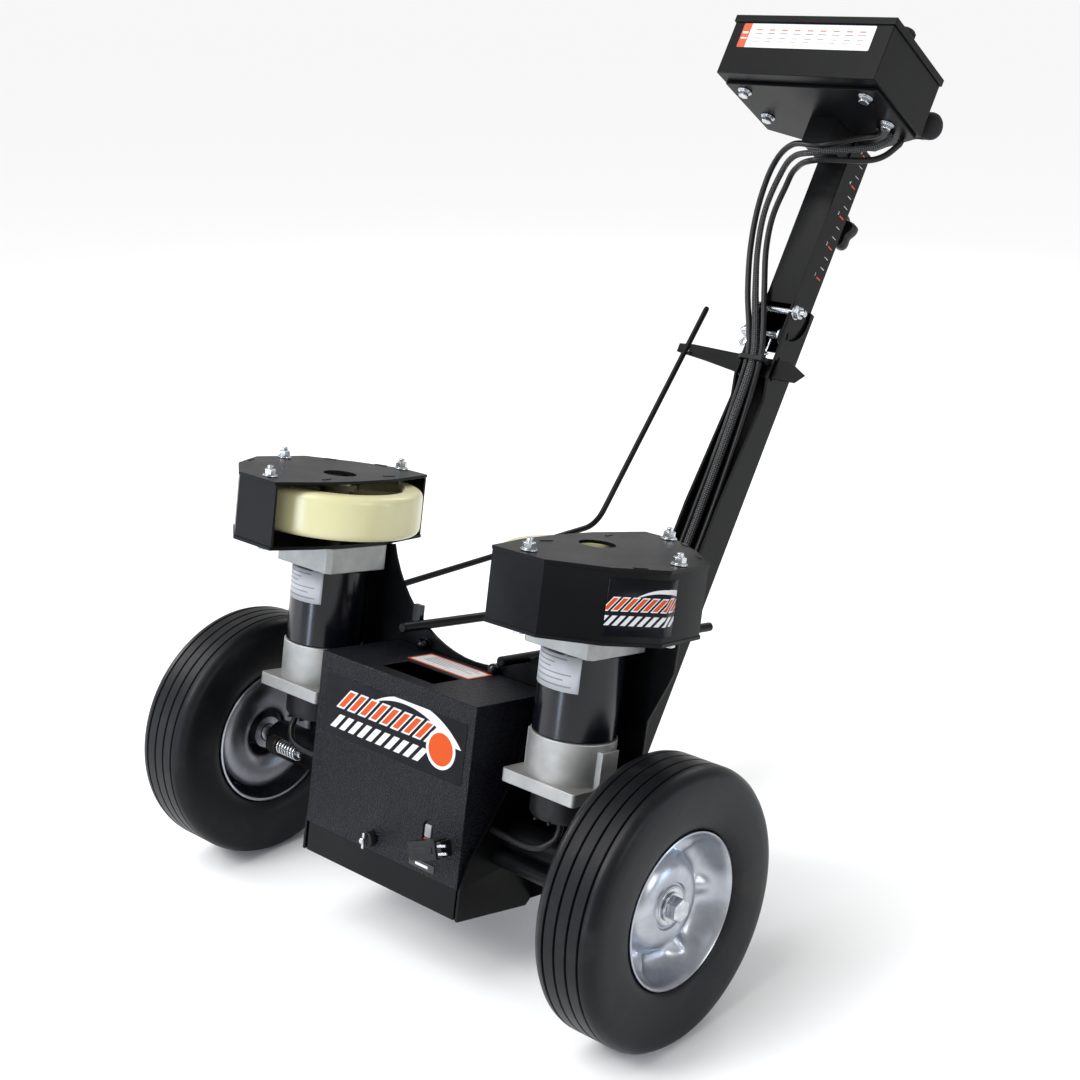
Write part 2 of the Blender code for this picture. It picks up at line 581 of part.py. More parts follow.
def mast_bolts(mast, pivot, finish):
    """The nutted pivot bolt, the carriage bolt with its wing nut, and the star knob."""
    side = CHANNEL_HALF + GAP
    profile = [(0, -side - 0.004), (0.0065, -side - 0.004), (0.0065, -side), (0.0038, -side)]
    profile += [(0.0038, side), (0.0075, side), (0.0075, side + 0.006), (0.0038, side + 0.006)]
    profile += [(0.0038, side + 0.013), (0, side + 0.013)]
    publish("pivot_bolt", turned(profile, 12, "X"), finish["zinc"], mast, (0, PIVOT_N, PIVOT_A))
    end = CHANNEL_HALF + 0.018
    head = TUBE_HALF - TUBE_WALL - GAP
    profile = [(0, -end), (0.0038, -end), (0.0038, head - 0.0045), (0.008, head - 0.0045)]
    profile += [(0.0065, head - 0.0015), (0.003, head), (0, head)]
    at = (0, LOCK_N - PIVOT_N, LOCK_A - PIVOT_A)
    publish("lock_bolt", turned(profile, 12, "X"), finish["zinc"], pivot, at)
    low, high = side, side + 0.012
    hub = [(0.0041, -high), (0.008, -high), (0.009, -low), (0.0041, -low)]
    wing = publish("wing_nut", turned(hub, 12, "X", True), finish["zinc"], pivot, at)
    for turn in (1, -1):
        outline = [(turn * 0.006, -low - 0.001), (turn * 0.016, -low - 0.007), (turn * 0.018, -low - 0.015)]
        outline += [(turn * 0.012, -low - 0.0145), (turn * 0.006, -low - 0.010)]
        leaf = prism([(z, x) for z, x in outline], -0.0015, 0.0015, "Y")
        join(wing, publish(f"wing_leaf_{turn}", leaf, None, pivot, at), "UNION")
    star = []
    for step in range(30):
        angle = math.tau * step / 30
        reach = 0.0205 + 0.0030 * math.cos(5 * angle)
        star.append((reach * math.cos(angle), reach * math.sin(angle)))
    at = (0, -PIVOT_N, 0.057 - PIVOT_A)
    knob = publish("star_knob", prism([(z, x) for x, z in star], 0.031, 0.049, "Y"), finish["plastic"], pivot, at)
    stud = rod(0.0037, 0.0155, 0.040, 10, "Y")
    join(knob, publish("knob_stud", stud, None, pivot, at), "UNION")
    neck = rod(0.010, 0.0295, 0.032, 14, "Y")
    join(knob, publish("knob_neck", neck, None, pivot, at), "UNION")


def control_box(pivot, finish):
    """Sheet case on its mounting plate, lipped panel, two speed dials and the rocker switch."""
    at = Vector((0, -PIVOT_N, -PIVOT_A))
    plate = [(-0.096, -0.127), (0.096, -0.127), (0.096, -0.027), (0.050, -0.004), (0.030, 0.008), (0.0135, 0.008)]
    plate += [(0.0135, -0.0135), (-0.0135, -0.0135), (-0.0135, 0.008), (-0.030, 0.008), (-0.050, -0.004), (-0.096, -0.027)]
    low = TUBE_TOP + GAP
    publish("box_plate", prism(plate, low, CASE_LOW - GAP), finish["black"], pivot, at)
    half, front, back = PANEL_HALF, PANEL_FRONT, PANEL_BACK
    case = publish("control_case", block((-half, front, CASE_LOW), (half, back, CASE_HIGH)), finish["black"], pivot, at)
    sheet = LID_SHEET
    hollow = block((-half + sheet, front + sheet, CASE_LOW + sheet), (half - sheet, back - sheet, 1))
    join(case, publish("case_hollow", hollow, None, pivot, at), "DIFFERENCE")
    edge = sheet + GAP
    lid = block((-half - edge, front - edge, CASE_HIGH - 0.0065), (half + edge, back + edge, CASE_HIGH + edge))
    panel = publish("control_panel", lid, finish["black"], pivot, at)
    under = block((-half - GAP, front - GAP, 0), (half + GAP, back + GAP, CASE_HIGH + GAP))
    join(panel, publish("panel_hollow", under, None, pivot, at), "DIFFERENCE")
    face = CASE_HIGH + edge
    for tag, side in (("left", -1), ("right", 1)):
        spindle = moved(rod(0.0035, 0.2, 0.24, 10), (side * DIAL_X, DIAL_N, 0))
        join(panel, publish(f"dial_hole_{tag}", spindle, None, pivot, at), "DIFFERENCE")
        knob = [(0, face - 0.012), (0.003, face - 0.012), (0.003, face + GAP), (0.0115, face + GAP)]
        knob += [(0.0115, face + 0.006), (0.0095, face + 0.016), (0, face + 0.016)]
        place = at + Vector((side * DIAL_X, DIAL_N, 0))
        publish(f"speed_dial_{tag}", turned(knob, 18), finish["plastic"], pivot, place)
    window = block((-0.0105, DIAL_N - 0.0065, 0.2), (0.0105, DIAL_N + 0.0065, 0.24))
    join(panel, publish("switch_window", window, None, pivot, at), "DIFFERENCE")
    outline = [(-0.0055, -0.009), (0.0055, -0.009), (0.0055, 0.0010), (0.0, 0.0004), (-0.0055, 0.0034)]
    rocker = prism(outline, -0.0095, 0.0095, "X")
    publish("power_switch", rocker, finish["red"], pivot, at + Vector((0, DIAL_N, face)))


def pull_handle(pivot, finish):
    """Round stem sliding in the mast tube, with a round-ended grip across its top."""
    at = Vector((0, -PIVOT_N, -PIVOT_A))
    stem = rod(0.0125, -0.050, 0.168, 18, "Z", 0.001)
    publish("handle_stem", stem, finish["black"], pivot, at)
    radius, end = 0.015, 0.101
    profile = [(radius * math.sin(angle), -end + radius - radius * math.cos(angle)) for angle in (0.0, 0.45, 0.9, 1.3)]
    profile = profile + [(radius, -end + radius), (radius, end - radius)]
    profile += [(r, -h) for r, h in reversed(profile[:4])]
    grip = publish("handle_grip", turned(profile, 18, "X"), finish["foam"], pivot, at + Vector((0, 0.0045, 0.1775)))
    socket = rod(0.0128, -0.05, 0.168 + GAP - 0.1775, 18)
    join(grip, publish("grip_socket", socket, None, pivot, at + Vector((0, 0, 0.1775))), "DIFFERENCE")


CABLE_ROUTES = {
    "left": [(0.060, -0.046, 0.1432), (0.050, -0.058, 0.126), (0.016, -0.073, 0.106), (-0.028, -0.062, 0.110),
             (-0.058, -0.042, 0.095), (-0.066, -0.031, 0.052), (-0.058, -0.027, 0.000), (-0.040, -0.026, -0.053),
             (-0.018, -0.028, -0.098), (-0.0085, -0.0245, -0.131), (-0.0125, -0.012, -0.200), (-0.014, -0.009, -0.300),
             (-0.014, -0.008, -0.420), (-0.0095, -0.008, -0.532)],
    "middle": [(0.070, -0.036, 0.1432), (0.056, -0.048, 0.119), (0.016, -0.074, 0.097), (-0.026, -0.056, 0.098),
               (-0.048, -0.038, 0.080), (-0.055, -0.030, 0.041), (-0.047, -0.027, -0.004), (-0.030, -0.026, -0.052),
               (-0.010, -0.027, -0.098), (0.0000, -0.0255, -0.133), (-0.0035, -0.016, -0.200), (-0.0045, -0.011, -0.300),
               (-0.0045, -0.010, -0.420), (-0.0010, -0.010, -0.530)],
    "right": [(0.078, -0.026, 0.1432), (0.061, -0.036, 0.112), (0.016, -0.073, 0.088), (-0.020, -0.052, 0.086),
              (-0.036, -0.036, 0.070), (-0.042, -0.030, 0.036), (-0.036, -0.027, -0.003), (-0.019, -0.026, -0.050),
              (0.0010, -0.028, -0.098), (0.0083, -0.0245, -0.131), (0.0060, -0.011, -0.200), (0.0070, -0.006, -0.300),
              (0.0070, -0.006, -0.420), (0.0078, -0.006, -0.534)],
}


def cables(finish):
    """Leads from the control box, over the hinge in a slack bow and down inside the channel."""
    for tag, route in CABLE_ROUTES.items():
        x, n, top = route[0]
        route = [route[0], (x, n, top - 0.007)] + route[1:]
        points = smooth_route([mast_to_world(*point) for point in route], 0.022)
        cord(f"cable_{tag}", points, CABLE_RADIUS, finish["plastic"])


def zip_tie(mast, finish):
    """Strap round the three leads at the head of the channel."""
    outline = [(-0.018, -0.0290), (-0.013, -0.0325), (0.013, -0.0325), (0.0185, -0.0290), (0.0185, -0.0198), (-0.018, -0.0198)]
    strap = publish("zip_tie", prism(outline, -0.132, -0.127), finish["plastic"], mast)
    hole = [(-0.0167, -0.0284), (-0.0125, -0.0312), (0.0125, -0.0312), (0.0172, -0.0284), (0.0172, -0.0205), (-0.0167, -0.0205)]
    join(strap, publish("zip_hole", prism(hole, -0.2, 0), None, mast), "DIFFERENCE")
    lock = block((0.0105, -0.0355, -0.133), (0.0165, -0.0308, -0.126))
    join(strap, publish("zip_lock", lock, None, mast), "UNION")


def motor_lead(tag, side, finish):
    """Loop from the brush cap round to the side of the battery box."""
    x, y = side * WHEEL_X, WHEEL_Y
    route = [(x + side * 0.012, y - 0.018, CAP_LOW - GAP), (x + side * 0.012, y - 0.018, CAP_LOW - 0.006),
             (x + side * 0.011, y - 0.022, 0.031),
             (x, y - 0.028, 0.022), (x - side * 0.020, y - 0.028, 0.018),
             (side * (BOX_HALF + 0.018), y - 0.026, 0.018), (side * (BOX_HALF + 0.004 + GAP), y - 0.024, 0.018)]
    points = smooth_route([head_to_world(*point) for point in route], 0.010)
    cord(f"motor_lead_{tag}", points, 0.003, finish["plastic"])


def lock_plunger(head, finish):
    """Spring plunger along the axle stub on the -X side, which pins the ground wheel."""
    low, high = -0.212, -0.166
    profile = [(0, low), (0.0085, low), (0.0085, low + 0.013), (0.0075, low + 0.013)]
    profile += [(0.0075, high - 0.003), (0.0045, high), (0, high)]
    publish("lock_plunger", turned(profile, 12, "X"), finish["zinc"], head, (0, -0.0285, 0.005))


def build():
    clear_scene()
    finish = {
        "black": material("black_powder_coat", (0.018, 0.018, 0.020), 0.42, 0.0),
        "wrinkle": material("wrinkle_black", (0.030, 0.032, 0.036), 0.55, 0.0),
        "gloss": material("gloss_black", (0.012, 0.012, 0.014), 0.22, 0.0),
        "rubber": material("tyre_rubber", (0.035, 0.036, 0.038), 0.75),
        "steel": material("pressed_rim", (0.62, 0.64, 0.67), 0.30, 1.0),
        "zinc": material("zinc_plate", (0.72, 0.73, 0.76), 0.28, 1.0),
        "aluminium": material("cast_aluminium", (0.70, 0.72, 0.74), 0.42, 1.0),
        "urethane": material("cream_urethane", (0.80, 0.77, 0.60), 0.38),
        "plastic": material("black_plastic", (0.020, 0.020, 0.022), 0.45),
        "foam": material("foam_grip", (0.020, 0.020, 0.020), 0.80),
        "red": material("red_plastic", (0.55, 0.03, 0.02), 0.40),
    }
    head = empty("head_frame", (0, AXLE_Y, AXLE_HEIGHT), HEAD_LEAN)
    mast = empty("mast_frame", MAST_BASE, MAST_LEAN)
    pivot = empty("fold_axis", mast_to_world(0, PIVOT_N, PIVOT_A), MAST_LEAN)
    for tag, side in (("left", -1), ("right", 1)):
        ground_wheel(tag, side, finish)
        hub_bolt(tag, side, finish)
        side_plate(tag, side, head, finish)
        motor(tag, side, head, finish)
        throw_wheel(tag, side, head, finish)
        guard(tag, side, head, finish)
        ball_rail(tag, side, head, finish)
        motor_lead(tag, side, finish)
    yoke_plate(head, finish)
    battery_box(head, finish)
    guide_rod(finish)
    mast_channel(mast, finish)
    rear_foot(mast, finish)
    mast_bracket(mast, finish)
    mast_tube(mast, pivot, finish)
    mast_bolts(mast, pivot, finish)
    control_box(pivot, finish)
    pull_handle(pivot, finish)
    cables(finish)
    zip_tie(mast, finish)
    lock_plunger(head, finish)


build()
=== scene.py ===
"""Looks of a two-wheel ball throwing machine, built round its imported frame.

Parts are worked out in one of three frames: the floor frame, the head frame, which leans back with
the throwing head, and the mast frame, which leans back with the mast.
"""

import json
import math

import bmesh
import bpy
import numpy as np
from bpy.props import FloatProperty, FloatVectorProperty, IntProperty, PointerProperty
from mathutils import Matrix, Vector


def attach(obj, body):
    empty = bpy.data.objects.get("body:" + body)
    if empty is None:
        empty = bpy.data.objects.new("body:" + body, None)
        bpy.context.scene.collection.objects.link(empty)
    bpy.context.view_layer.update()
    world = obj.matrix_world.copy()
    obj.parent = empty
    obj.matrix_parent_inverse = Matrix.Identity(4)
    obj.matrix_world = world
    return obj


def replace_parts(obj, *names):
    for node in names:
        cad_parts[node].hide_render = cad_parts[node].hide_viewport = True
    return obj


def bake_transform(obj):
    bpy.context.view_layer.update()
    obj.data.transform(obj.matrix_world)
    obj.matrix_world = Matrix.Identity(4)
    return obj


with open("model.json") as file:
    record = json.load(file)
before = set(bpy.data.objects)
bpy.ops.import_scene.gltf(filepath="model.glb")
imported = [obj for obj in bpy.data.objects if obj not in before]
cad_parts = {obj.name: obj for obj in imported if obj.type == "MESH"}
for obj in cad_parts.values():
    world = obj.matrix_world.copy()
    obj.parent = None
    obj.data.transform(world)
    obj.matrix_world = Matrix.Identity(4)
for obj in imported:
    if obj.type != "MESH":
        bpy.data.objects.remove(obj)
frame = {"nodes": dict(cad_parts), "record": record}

bl_info = {
    "name": "Ball throwing machine",
    "version": (1, 0, 0),
    "blender": (4, 5, 0),
    "location": "View3D > Sidebar > Ball machine",
    "description": "Builds the pieces and finishes of a two-wheel ball throwing machine",
    "category": "Object",
}

AXLE_Y = -0.234
AXLE_HEIGHT = 0.127
TRACK_HALF = 0.267
WHEEL_X = 0.165
WHEEL_Y = -0.014
HEAD_LEAN = math.radians(10)
MAST_LEAN = math.radians(33)
MAST_BASE = (0, AXLE_Y + 0.5857, AXLE_HEIGHT + 0.450)
SIDES = (("left", -1), ("right", 1))
MM = 0.001

THROW_LOW, THROW_HIGH, THROW_RADIUS = 0.240, 0.283, 0.083
CAN_LOW, CAN_HIGH, CAN_RADIUS = 0.1243, 0.2012, 0.0375
GUARD_FLOOR, GUARD_ROOF = 0.2267, 0.2923
COVER_FRONT, COVER_TOP = -0.0725, 0.1361
TUBE_FACE = 0.0190
CHANNEL_FACE = 0.0228
BOX_FRONT, BOX_UNDER, BOX_TOP = -0.1441, 0.1436, 0.2183
PRINT_THICKNESS = 0.0002
CABLE_RINGS, CABLE_RADIUS, SLEEVE_RADIUS = 260, 0.0034, 0.0046


def leaning(origin, lean):
    """A frame turned back about X by an angle: its axes as rows, and where it stands."""
    c, s = math.cos(lean), math.sin(lean)
    return np.array(((1, 0, 0), (0, c, -s), (0, s, c))), np.array(origin, float)


FLOOR = leaning((0, 0, 0), 0)
HEAD = leaning((0, AXLE_Y, AXLE_HEIGHT), HEAD_LEAN)
MAST = leaning(MAST_BASE, MAST_LEAN)


def to_world(points, held):
    """Places of a held frame's points: their three measures along its axes, added to its origin."""
    axes, origin = held
    return np.asarray(points, float) @ axes + origin


# ---------------------------------------------------------------- surfaces


def grid_faces(rows, columns, close_rows=False, close_columns=True):
    """Quads between neighbouring points of a grid that is stored row by row."""
    r = np.arange(rows if close_rows else rows - 1)[:, None]
    c = np.arange(columns if close_columns else columns - 1)[None, :]
    next_r, next_c = (r + 1) % rows, (c + 1) % columns
    quads = np.stack(
        (r * columns + c, r * columns + next_c, next_r * columns + next_c, next_r * columns + c), -1
    )
    return quads.reshape(-1, 4)


AXES = {"X": (2, 0, 1), "Y": (1, 2, 0), "Z": (0, 1, 2)}


def revolved(profile, steps, axis="Z", closed=False, at=(0, 0, 0), dent=None):
    """A profile of (radius, height) points carried round an axis: x = r cos t, y = r sin t.
    dent(radius, height, angle) gives a further rise along the axis."""
    profile = np.asarray(profile, float)
    angle = np.linspace(0, math.tau, steps, endpoint=False)
    radius, height = profile[:, :1], np.repeat(profile[:, 1:], steps, 1)
    if dent is not None:
        height = height + dent(radius, height, angle[None, :])
    points = np.stack((radius * np.cos(angle), radius * np.sin(angle), height), -1).reshape(-1, 3)
    return points[:, AXES[axis]] + at, grid_faces(len(profile), steps, closed).tolist()


def plate(outline, low, high, axis="Z", at=(0, 0, 0)):
    """A flat outline carried straight from low to high, closed by its own shape at both ends."""
    outline = np.asarray(outline, float)
    count = len(outline)
    levels = [np.column_stack((outline, np.full(count, level))) for level in (low, high)]
    faces = grid_faces(2, count).tolist()
    faces += [list(range(count))[::-1], list(range(count, 2 * count))]
    return np.concatenate(levels)[:, AXES[axis]] + at, faces


def block(low, high):
    """A box between two opposite corners."""
    (x0, y0, z0), (x1, y1, z1) = low, high
    return plate(((x0, y0), (x1, y0), (x1, y1), (x0, y1)), z0, z1)


def smooth_path(points, count):
    """Even points on a Catmull-Rom curve through the given ones: a cubic between each pair."""
    p = np.asarray(points, float)
    p = np.vstack((2 * p[0] - p[1], p, 2 * p[-1] - p[-2]))
    t = np.linspace(0, 1, 24, endpoint=False)[None, :, None]
    a, b, c, d = (p[i : len(p) - 3 + i, None, :] for i in range(4))
    curve = 0.5 * (2 * b + (c - a) * t + (2 * a - 5 * b + 4 * c - d) * t**2 + (3 * b - a - 3 * c + d) * t**3)
    curve = np.vstack((curve.reshape(-1, 3), p[-2]))
    walked = np.concatenate(([0], np.cumsum(np.linalg.norm(np.diff(curve, axis=0), axis=1))))
    even = np.linspace(0, walked[-1], count)
    return np.column_stack([np.interp(even, walked, curve[:, i]) for i in range(3)])


def swept(path, radius, sides=16, caps=True):
    """A round section carried along a path. Each ring lies square to the path, in a frame that is
    turned as little as possible from one ring to the next. radius may change along the path."""
    path = np.asarray(path, float)
    run = np.gradient(path, axis=0)
    run /= np.linalg.norm(run, axis=1, keepdims=True)
    side = np.cross(run[0], (0.0, 0.0, 1.0) if abs(run[0][2]) < 0.9 else (1.0, 0.0, 0.0))
    across = []
    for direction in run:
        side = side - direction * side.dot(direction)
        side = side / np.linalg.norm(side)
        across.append(side)
    across = np.array(across)
    up = np.cross(run, across)
    angle = np.linspace(0, math.tau, sides, endpoint=False)[None, :, None]
    wide = np.broadcast_to(np.asarray(radius, float), (len(path),))[:, None, None]
    rings = path[:, None] + wide * (across[:, None] * np.cos(angle) + up[:, None] * np.sin(angle))
    faces = grid_faces(len(path), sides).tolist()
    if caps:
        faces += [list(range(sides))[::-1], list(range(len(path) * sides - sides, len(path) * sides))]
    return rings.reshape(-1, 3), faces


def along(path, sides):
    """Texture places for a swept piece: turns round it, and metres along it."""
    walked = np.concatenate(([0], np.cumsum(np.linalg.norm(np.diff(path, axis=0), axis=1))))
    rows, cols = np.meshgrid(np.arange(len(path) - 1), np.arange(sides), indexing="ij")
    u = np.stack((cols, cols + 1, cols + 1, cols), -1) / sides
    v = np.stack((walked[rows], walked[rows], walked[rows + 1], walked[rows + 1]), -1)
    return np.stack((u, v), -1).reshape(-1, 2)


def arc(centre, radius, start, end, count):
    """Points on part of a circle: its centre plus the radius times the cosine and sine, in degrees."""
    angle = np.radians(np.linspace(start, end, count + 1))
    return np.column_stack((centre[0] + radius * np.cos(angle),
                            centre[1] + radius * np.sin(angle))).tolist()


def rounded(width, height, radius, centre=(0, 0), count=5):
    """Outline of a rectangle with round corners."""
    corners = []
    for turn, (sx, sy) in enumerate(((1, 1), (-1, 1), (-1, -1), (1, -1))):
        middle = (centre[0] + sx * (width / 2 - radius), centre[1] + sy * (height / 2 - radius))
        corners += arc(middle, radius, turn * 90, turn * 90 + 90, count)
    return corners


def ring(inner, outer, low, high):
    """Section of a flat ring: its four corners as (radius, height)."""
    return [(inner, low), (outer, low), (outer, high), (inner, high)]


def upright(width, height, radius, centre, near, far):
    """A plate with round corners that stands square to Y, between two depths."""
    outline = [(z, x) for x, z in rounded(width, height, radius, centre)][::-1]
    return plate(outline, near, far, "Y")


def placed(shape, factors, at):
    """A shape multiplied by a factor for each axis, then moved. A factor of -1 turns it over."""
    points, faces = shape
    return points * factors + at, faces


def hexagon(radius, low, high, axis="Z", at=(0, 0, 0), turn=0.0):
    """A bolt head: six flats with a cone taken off the outer corners."""
    edge = radius * 0.07
    angle = np.linspace(0, math.tau, 6, endpoint=False) + turn
    rings = [(radius, low), (radius, high - edge), (radius * 0.88, high)]
    points = [np.column_stack((r * np.cos(angle), r * np.sin(angle), np.full(6, h))) for r, h in rings]
    faces = grid_faces(3, 6).tolist() + [list(range(6))[::-1], list(range(12, 18))]
    return np.concatenate(points)[:, AXES[axis]] + at, faces


# ---------------------------------------------------------------- pieces


def shown(name, data):
    """An object for a mesh or a lamp, in the scene."""
    obj = bpy.data.objects.new(name, data)
    bpy.context.scene.collection.objects.link(obj)
    return obj


def finish_mesh(obj, material, body, smooth):
    """Gives a piece its finish and its body, and shades it smooth between sharp edges."""
    mesh = obj.data
    mesh.shade_smooth()
    mesh.set_sharp_from_angle(angle=math.radians(smooth))
    mesh.materials.clear()
    mesh.materials.append(material)
    if body:
        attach(obj, body)
    return obj


def piece(name, shapes, material, body, held=FLOOR, stands_for=(), edge=0.0, smooth=32, flat_uv=None):
    """Joins shapes into one mesh in place: doubles merged, faces turned outwards, edges rounded."""
    points, faces, start = [], [], 0
    for some_points, some_faces in shapes:
        points.append(some_points)
        faces += [[start + index for index in face] for face in some_faces]
        start += len(some_points)
    local = np.concatenate(points)
    mesh = bpy.data.meshes.new(name)
    mesh.from_pydata(to_world(local, held).tolist(), [], faces)
    work = bmesh.new()
    work.from_mesh(mesh)
    bmesh.ops.remove_doubles(work, verts=work.verts, dist=1e-6)
    bmesh.ops.recalc_face_normals(work, faces=work.faces)
    work.to_mesh(mesh)
    work.free()
    obj = shown(name, mesh)
    if flat_uv:
        lay_flat(mesh, held, flat_uv)
    if edge:
        soften(obj, edge)
    finish_mesh(obj, material, body, smooth)
    if stands_for:
        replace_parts(obj, *stands_for)
    return obj


def lay_flat(mesh, held, pair):
    """Texture places in metres: two of the held frame's own directions."""
    points = np.empty(len(mesh.vertices) * 3)
    mesh.vertices.foreach_get("co", points)
    axes, origin = held
    local = (points.reshape(-1, 3) - origin) @ axes.T
    loops = np.empty(len(mesh.loops), int)
    mesh.loops.foreach_get("vertex_index", loops)
    layer = mesh.uv_layers.new(name="flat")
    layer.data.foreach_set("uv", local[loops][:, list(pair)].ravel())


def soften(obj, width, segments=2):
    """Rounds the edges of a piece by a live bevel."""
    modifier = obj.modifiers.new("Edge", "BEVEL")
    modifier.width = width
    modifier.segments = segments
    modifier.limit_method = "ANGLE"
    modifier.angle_limit = math.radians(32)
    modifier.use_clamp_overlap = True


def body_named(node):
    """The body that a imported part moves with."""
    for body, members in frame["record"]["behaviour"]["bodies"].items():
        if node in members:
            return body
    raise RuntimeError(f"no body holds {node}")


def edged(node, material, width=0.5 * MM):
    """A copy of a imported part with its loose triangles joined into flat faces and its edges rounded."""
    mesh = frame["nodes"][node].data.copy()
    mesh.name = node + "_skin"
    for layer in list(mesh.uv_layers):
        mesh.uv_layers.remove(layer)
    work = bmesh.new()
    work.from_mesh(mesh)
    bmesh.ops.remove_doubles(work, verts=work.verts, dist=2e-5)
    bmesh.ops.dissolve_degenerate(work, edges=work.edges, dist=1e-5)
    bmesh.ops.dissolve_limit(work, angle_limit=math.radians(0.6), verts=work.verts, edges=work.edges)
    bmesh.ops.recalc_face_normals(work, faces=work.faces)
    work.to_mesh(mesh)
    work.free()
    obj = shown(mesh.name, mesh)
    soften(obj, width)
    finish_mesh(obj, material, body_named(node), 32)
    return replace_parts(obj, node)


def tube(name, path, radius, material, body, sides=16, stands_for=()):
    """A tube along a path, with texture places that follow it."""
    points, faces = swept(path, radius, sides)
    mesh = bpy.data.meshes.new(name)
    mesh.from_pydata(points.tolist(), [], faces)
    layer = mesh.uv_layers.new(name="along")
    places = np.vstack((along(path, sides), np.zeros((2 * sides, 2))))
    layer.data.foreach_set("uv", places.ravel())
    obj = finish_mesh(shown(name, mesh), material, body, 50)
    if stands_for:
        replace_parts(obj, *stands_for)
    return obj


def printed_sheet(name, points, places, material, smooth):
    """A sheet on a curved face of the head: rows of points with texture places of their own, given
    a thickness outwards. points and places are arrays of (row, column, measure)."""
    rows, columns = points.shape[:2]
    mesh = bpy.data.meshes.new(name)
    world = to_world(points.reshape(-1, 3), HEAD)
    mesh.from_pydata(world.tolist(), [], grid_faces(rows, columns, False, False).tolist())
    loops = np.empty(len(mesh.loops), int)
    mesh.loops.foreach_get("vertex_index", loops)
    layer = mesh.uv_layers.new(name="flat")
    layer.data.foreach_set("uv", places.reshape(-1, 2)[loops].ravel())
    obj = shown(name, mesh)
    thick = obj.modifiers.new("Thick", "SOLIDIFY")
    thick.thickness = PRINT_THICKNESS
    thick.offset = 1
    return finish_mesh(obj, material, "chassis", smooth)


# ---------------------------------------------------------------- finishes


class Wire:
    """A socket that takes part in sums, so that an expression adds its Math nodes."""

    def __init__(self, finish, socket):
        self.finish = finish
        self.socket = socket

    def _with(self, operation, *others):
        inputs = dict(enumerate((self, *others)))
        node = self.finish.add("ShaderNodeMath", {"operation": operation}, inputs)
        return Wire(self.finish, node.outputs[0])

    def __add__(self, other):
        return self._with("ADD", other)

    __radd__ = __add__

    def __mul__(self, other):
        return self._with("MULTIPLY", other)

    __rmul__ = __mul__

    def __sub__(self, other):
        return self._with("SUBTRACT", other)

    def __rsub__(self, other):
        return self * -1 + other

    def __truediv__(self, other):
        return self._with("DIVIDE", other)

    def __gt__(self, other):
        return self._with("GREATER_THAN", other)

    def __lt__(self, other):
        return self._with("LESS_THAN", other)

    def __mod__(self, other):
        return self._with("FLOORED_MODULO", other)

    def sine(self):
        return self._with("SINE")

    def root(self):
        return self._with("SQRT")

    def most(self, other):
        return self._with("MAXIMUM", other)

    def between(self, low, high):
        return (self > low) * (self < high)

    def eased(self, low, high):
        settings = {"interpolation_type": "SMOOTHSTEP", "clamp": True}
        node = self.finish.add("ShaderNodeMapRange", settings, {0: self, 1: low, 2: high})
        return Wire(self.finish, node.outputs[0])


class Finish:
    """One material and the tools to lay it out."""

    def __init__(self, name, colour, roughness, metallic=0.0, shine=0.5, held=None, uv=False):
        self.material = bpy.data.materials.new(name)
        self.material.use_nodes = True
        self.tree = self.material.node_tree
        self.shader = self.tree.nodes["Principled BSDF"]
        self.set("Base Color", colour)
        self.set("Roughness", roughness)
        self.set("Metallic", metallic)
        self.set("Specular IOR Level", shine)
        source = self.add("ShaderNodeTexCoord", {}, {})
        self.place = Wire(self, source.outputs["UV" if uv else "Object"])
        if held is not None:
            self.place = self.seen_from(held)
        self.relief = None

    def add(self, kind, settings, inputs):
        """Any node: its settings first, then the values or links of its sockets."""
        node = self.tree.nodes.new(kind)
        for key, value in settings.items():
            setattr(node, key, value)
        for key, value in inputs.items():
            self.feed(node.inputs[key], value)
        return node

    def feed(self, socket, value):
        if isinstance(value, Wire):
            self.tree.links.new(value.socket, socket)
        elif hasattr(socket.default_value,
                     "__len__") and len(value) == 3 and len(socket.default_value) == 4:
            socket.default_value = (*value, 1)
        else:
            socket.default_value = value

    def set(self, socket, value):
        """A value or a link for a socket of the shader."""
        self.feed(self.shader.inputs[socket], value)

    def seen_from(self, held):
        """The point in a leaning frame's own directions."""
        axes, origin = held
        lean = math.atan2(-axes[1, 2], axes[1, 1])
        settings = {"vector_type": "POINT"}
        inputs = {0: self.place, 1: tuple(-(axes @ origin)), 2: (lean, 0, 0)}
        return Wire(self, self.add("ShaderNodeMapping", settings, inputs).outputs[0])

    def parts(self):
        node = self.add("ShaderNodeSeparateXYZ", {}, {0: self.place})
        return [Wire(self, node.outputs[i]) for i in range(3)]

    def noise(self, scale, detail=3.0, rough=0.55, warp=0.0):
        inputs = {"Vector": self.place, "Scale": scale, "Detail": detail, "Roughness": rough,
                  "Distortion": warp}
        return Wire(self, self.add("ShaderNodeTexNoise", {}, inputs).outputs["Fac"])

    def cells(self, scale):
        inputs = {"Vector": self.place, "Scale": scale}
        node = self.add("ShaderNodeTexVoronoi", {"feature": "F1"}, inputs)
        return Wire(self, node.outputs["Distance"])

    def mix(self, low, high, share):
        """A colour between two."""
        node = self.add("ShaderNodeMix", {"data_type": "RGBA"}, {0: share, 6: low, 7: high})
        return Wire(self, node.outputs[2])

    def bump(self, height, strength, distance):
        inputs = {"Strength": strength, "Distance": distance, "Height": height}
        if self.relief is not None:
            inputs["Normal"] = self.relief
        self.relief = Wire(self, self.add("ShaderNodeBump", {}, inputs).outputs[0])
        self.set("Normal", self.relief)


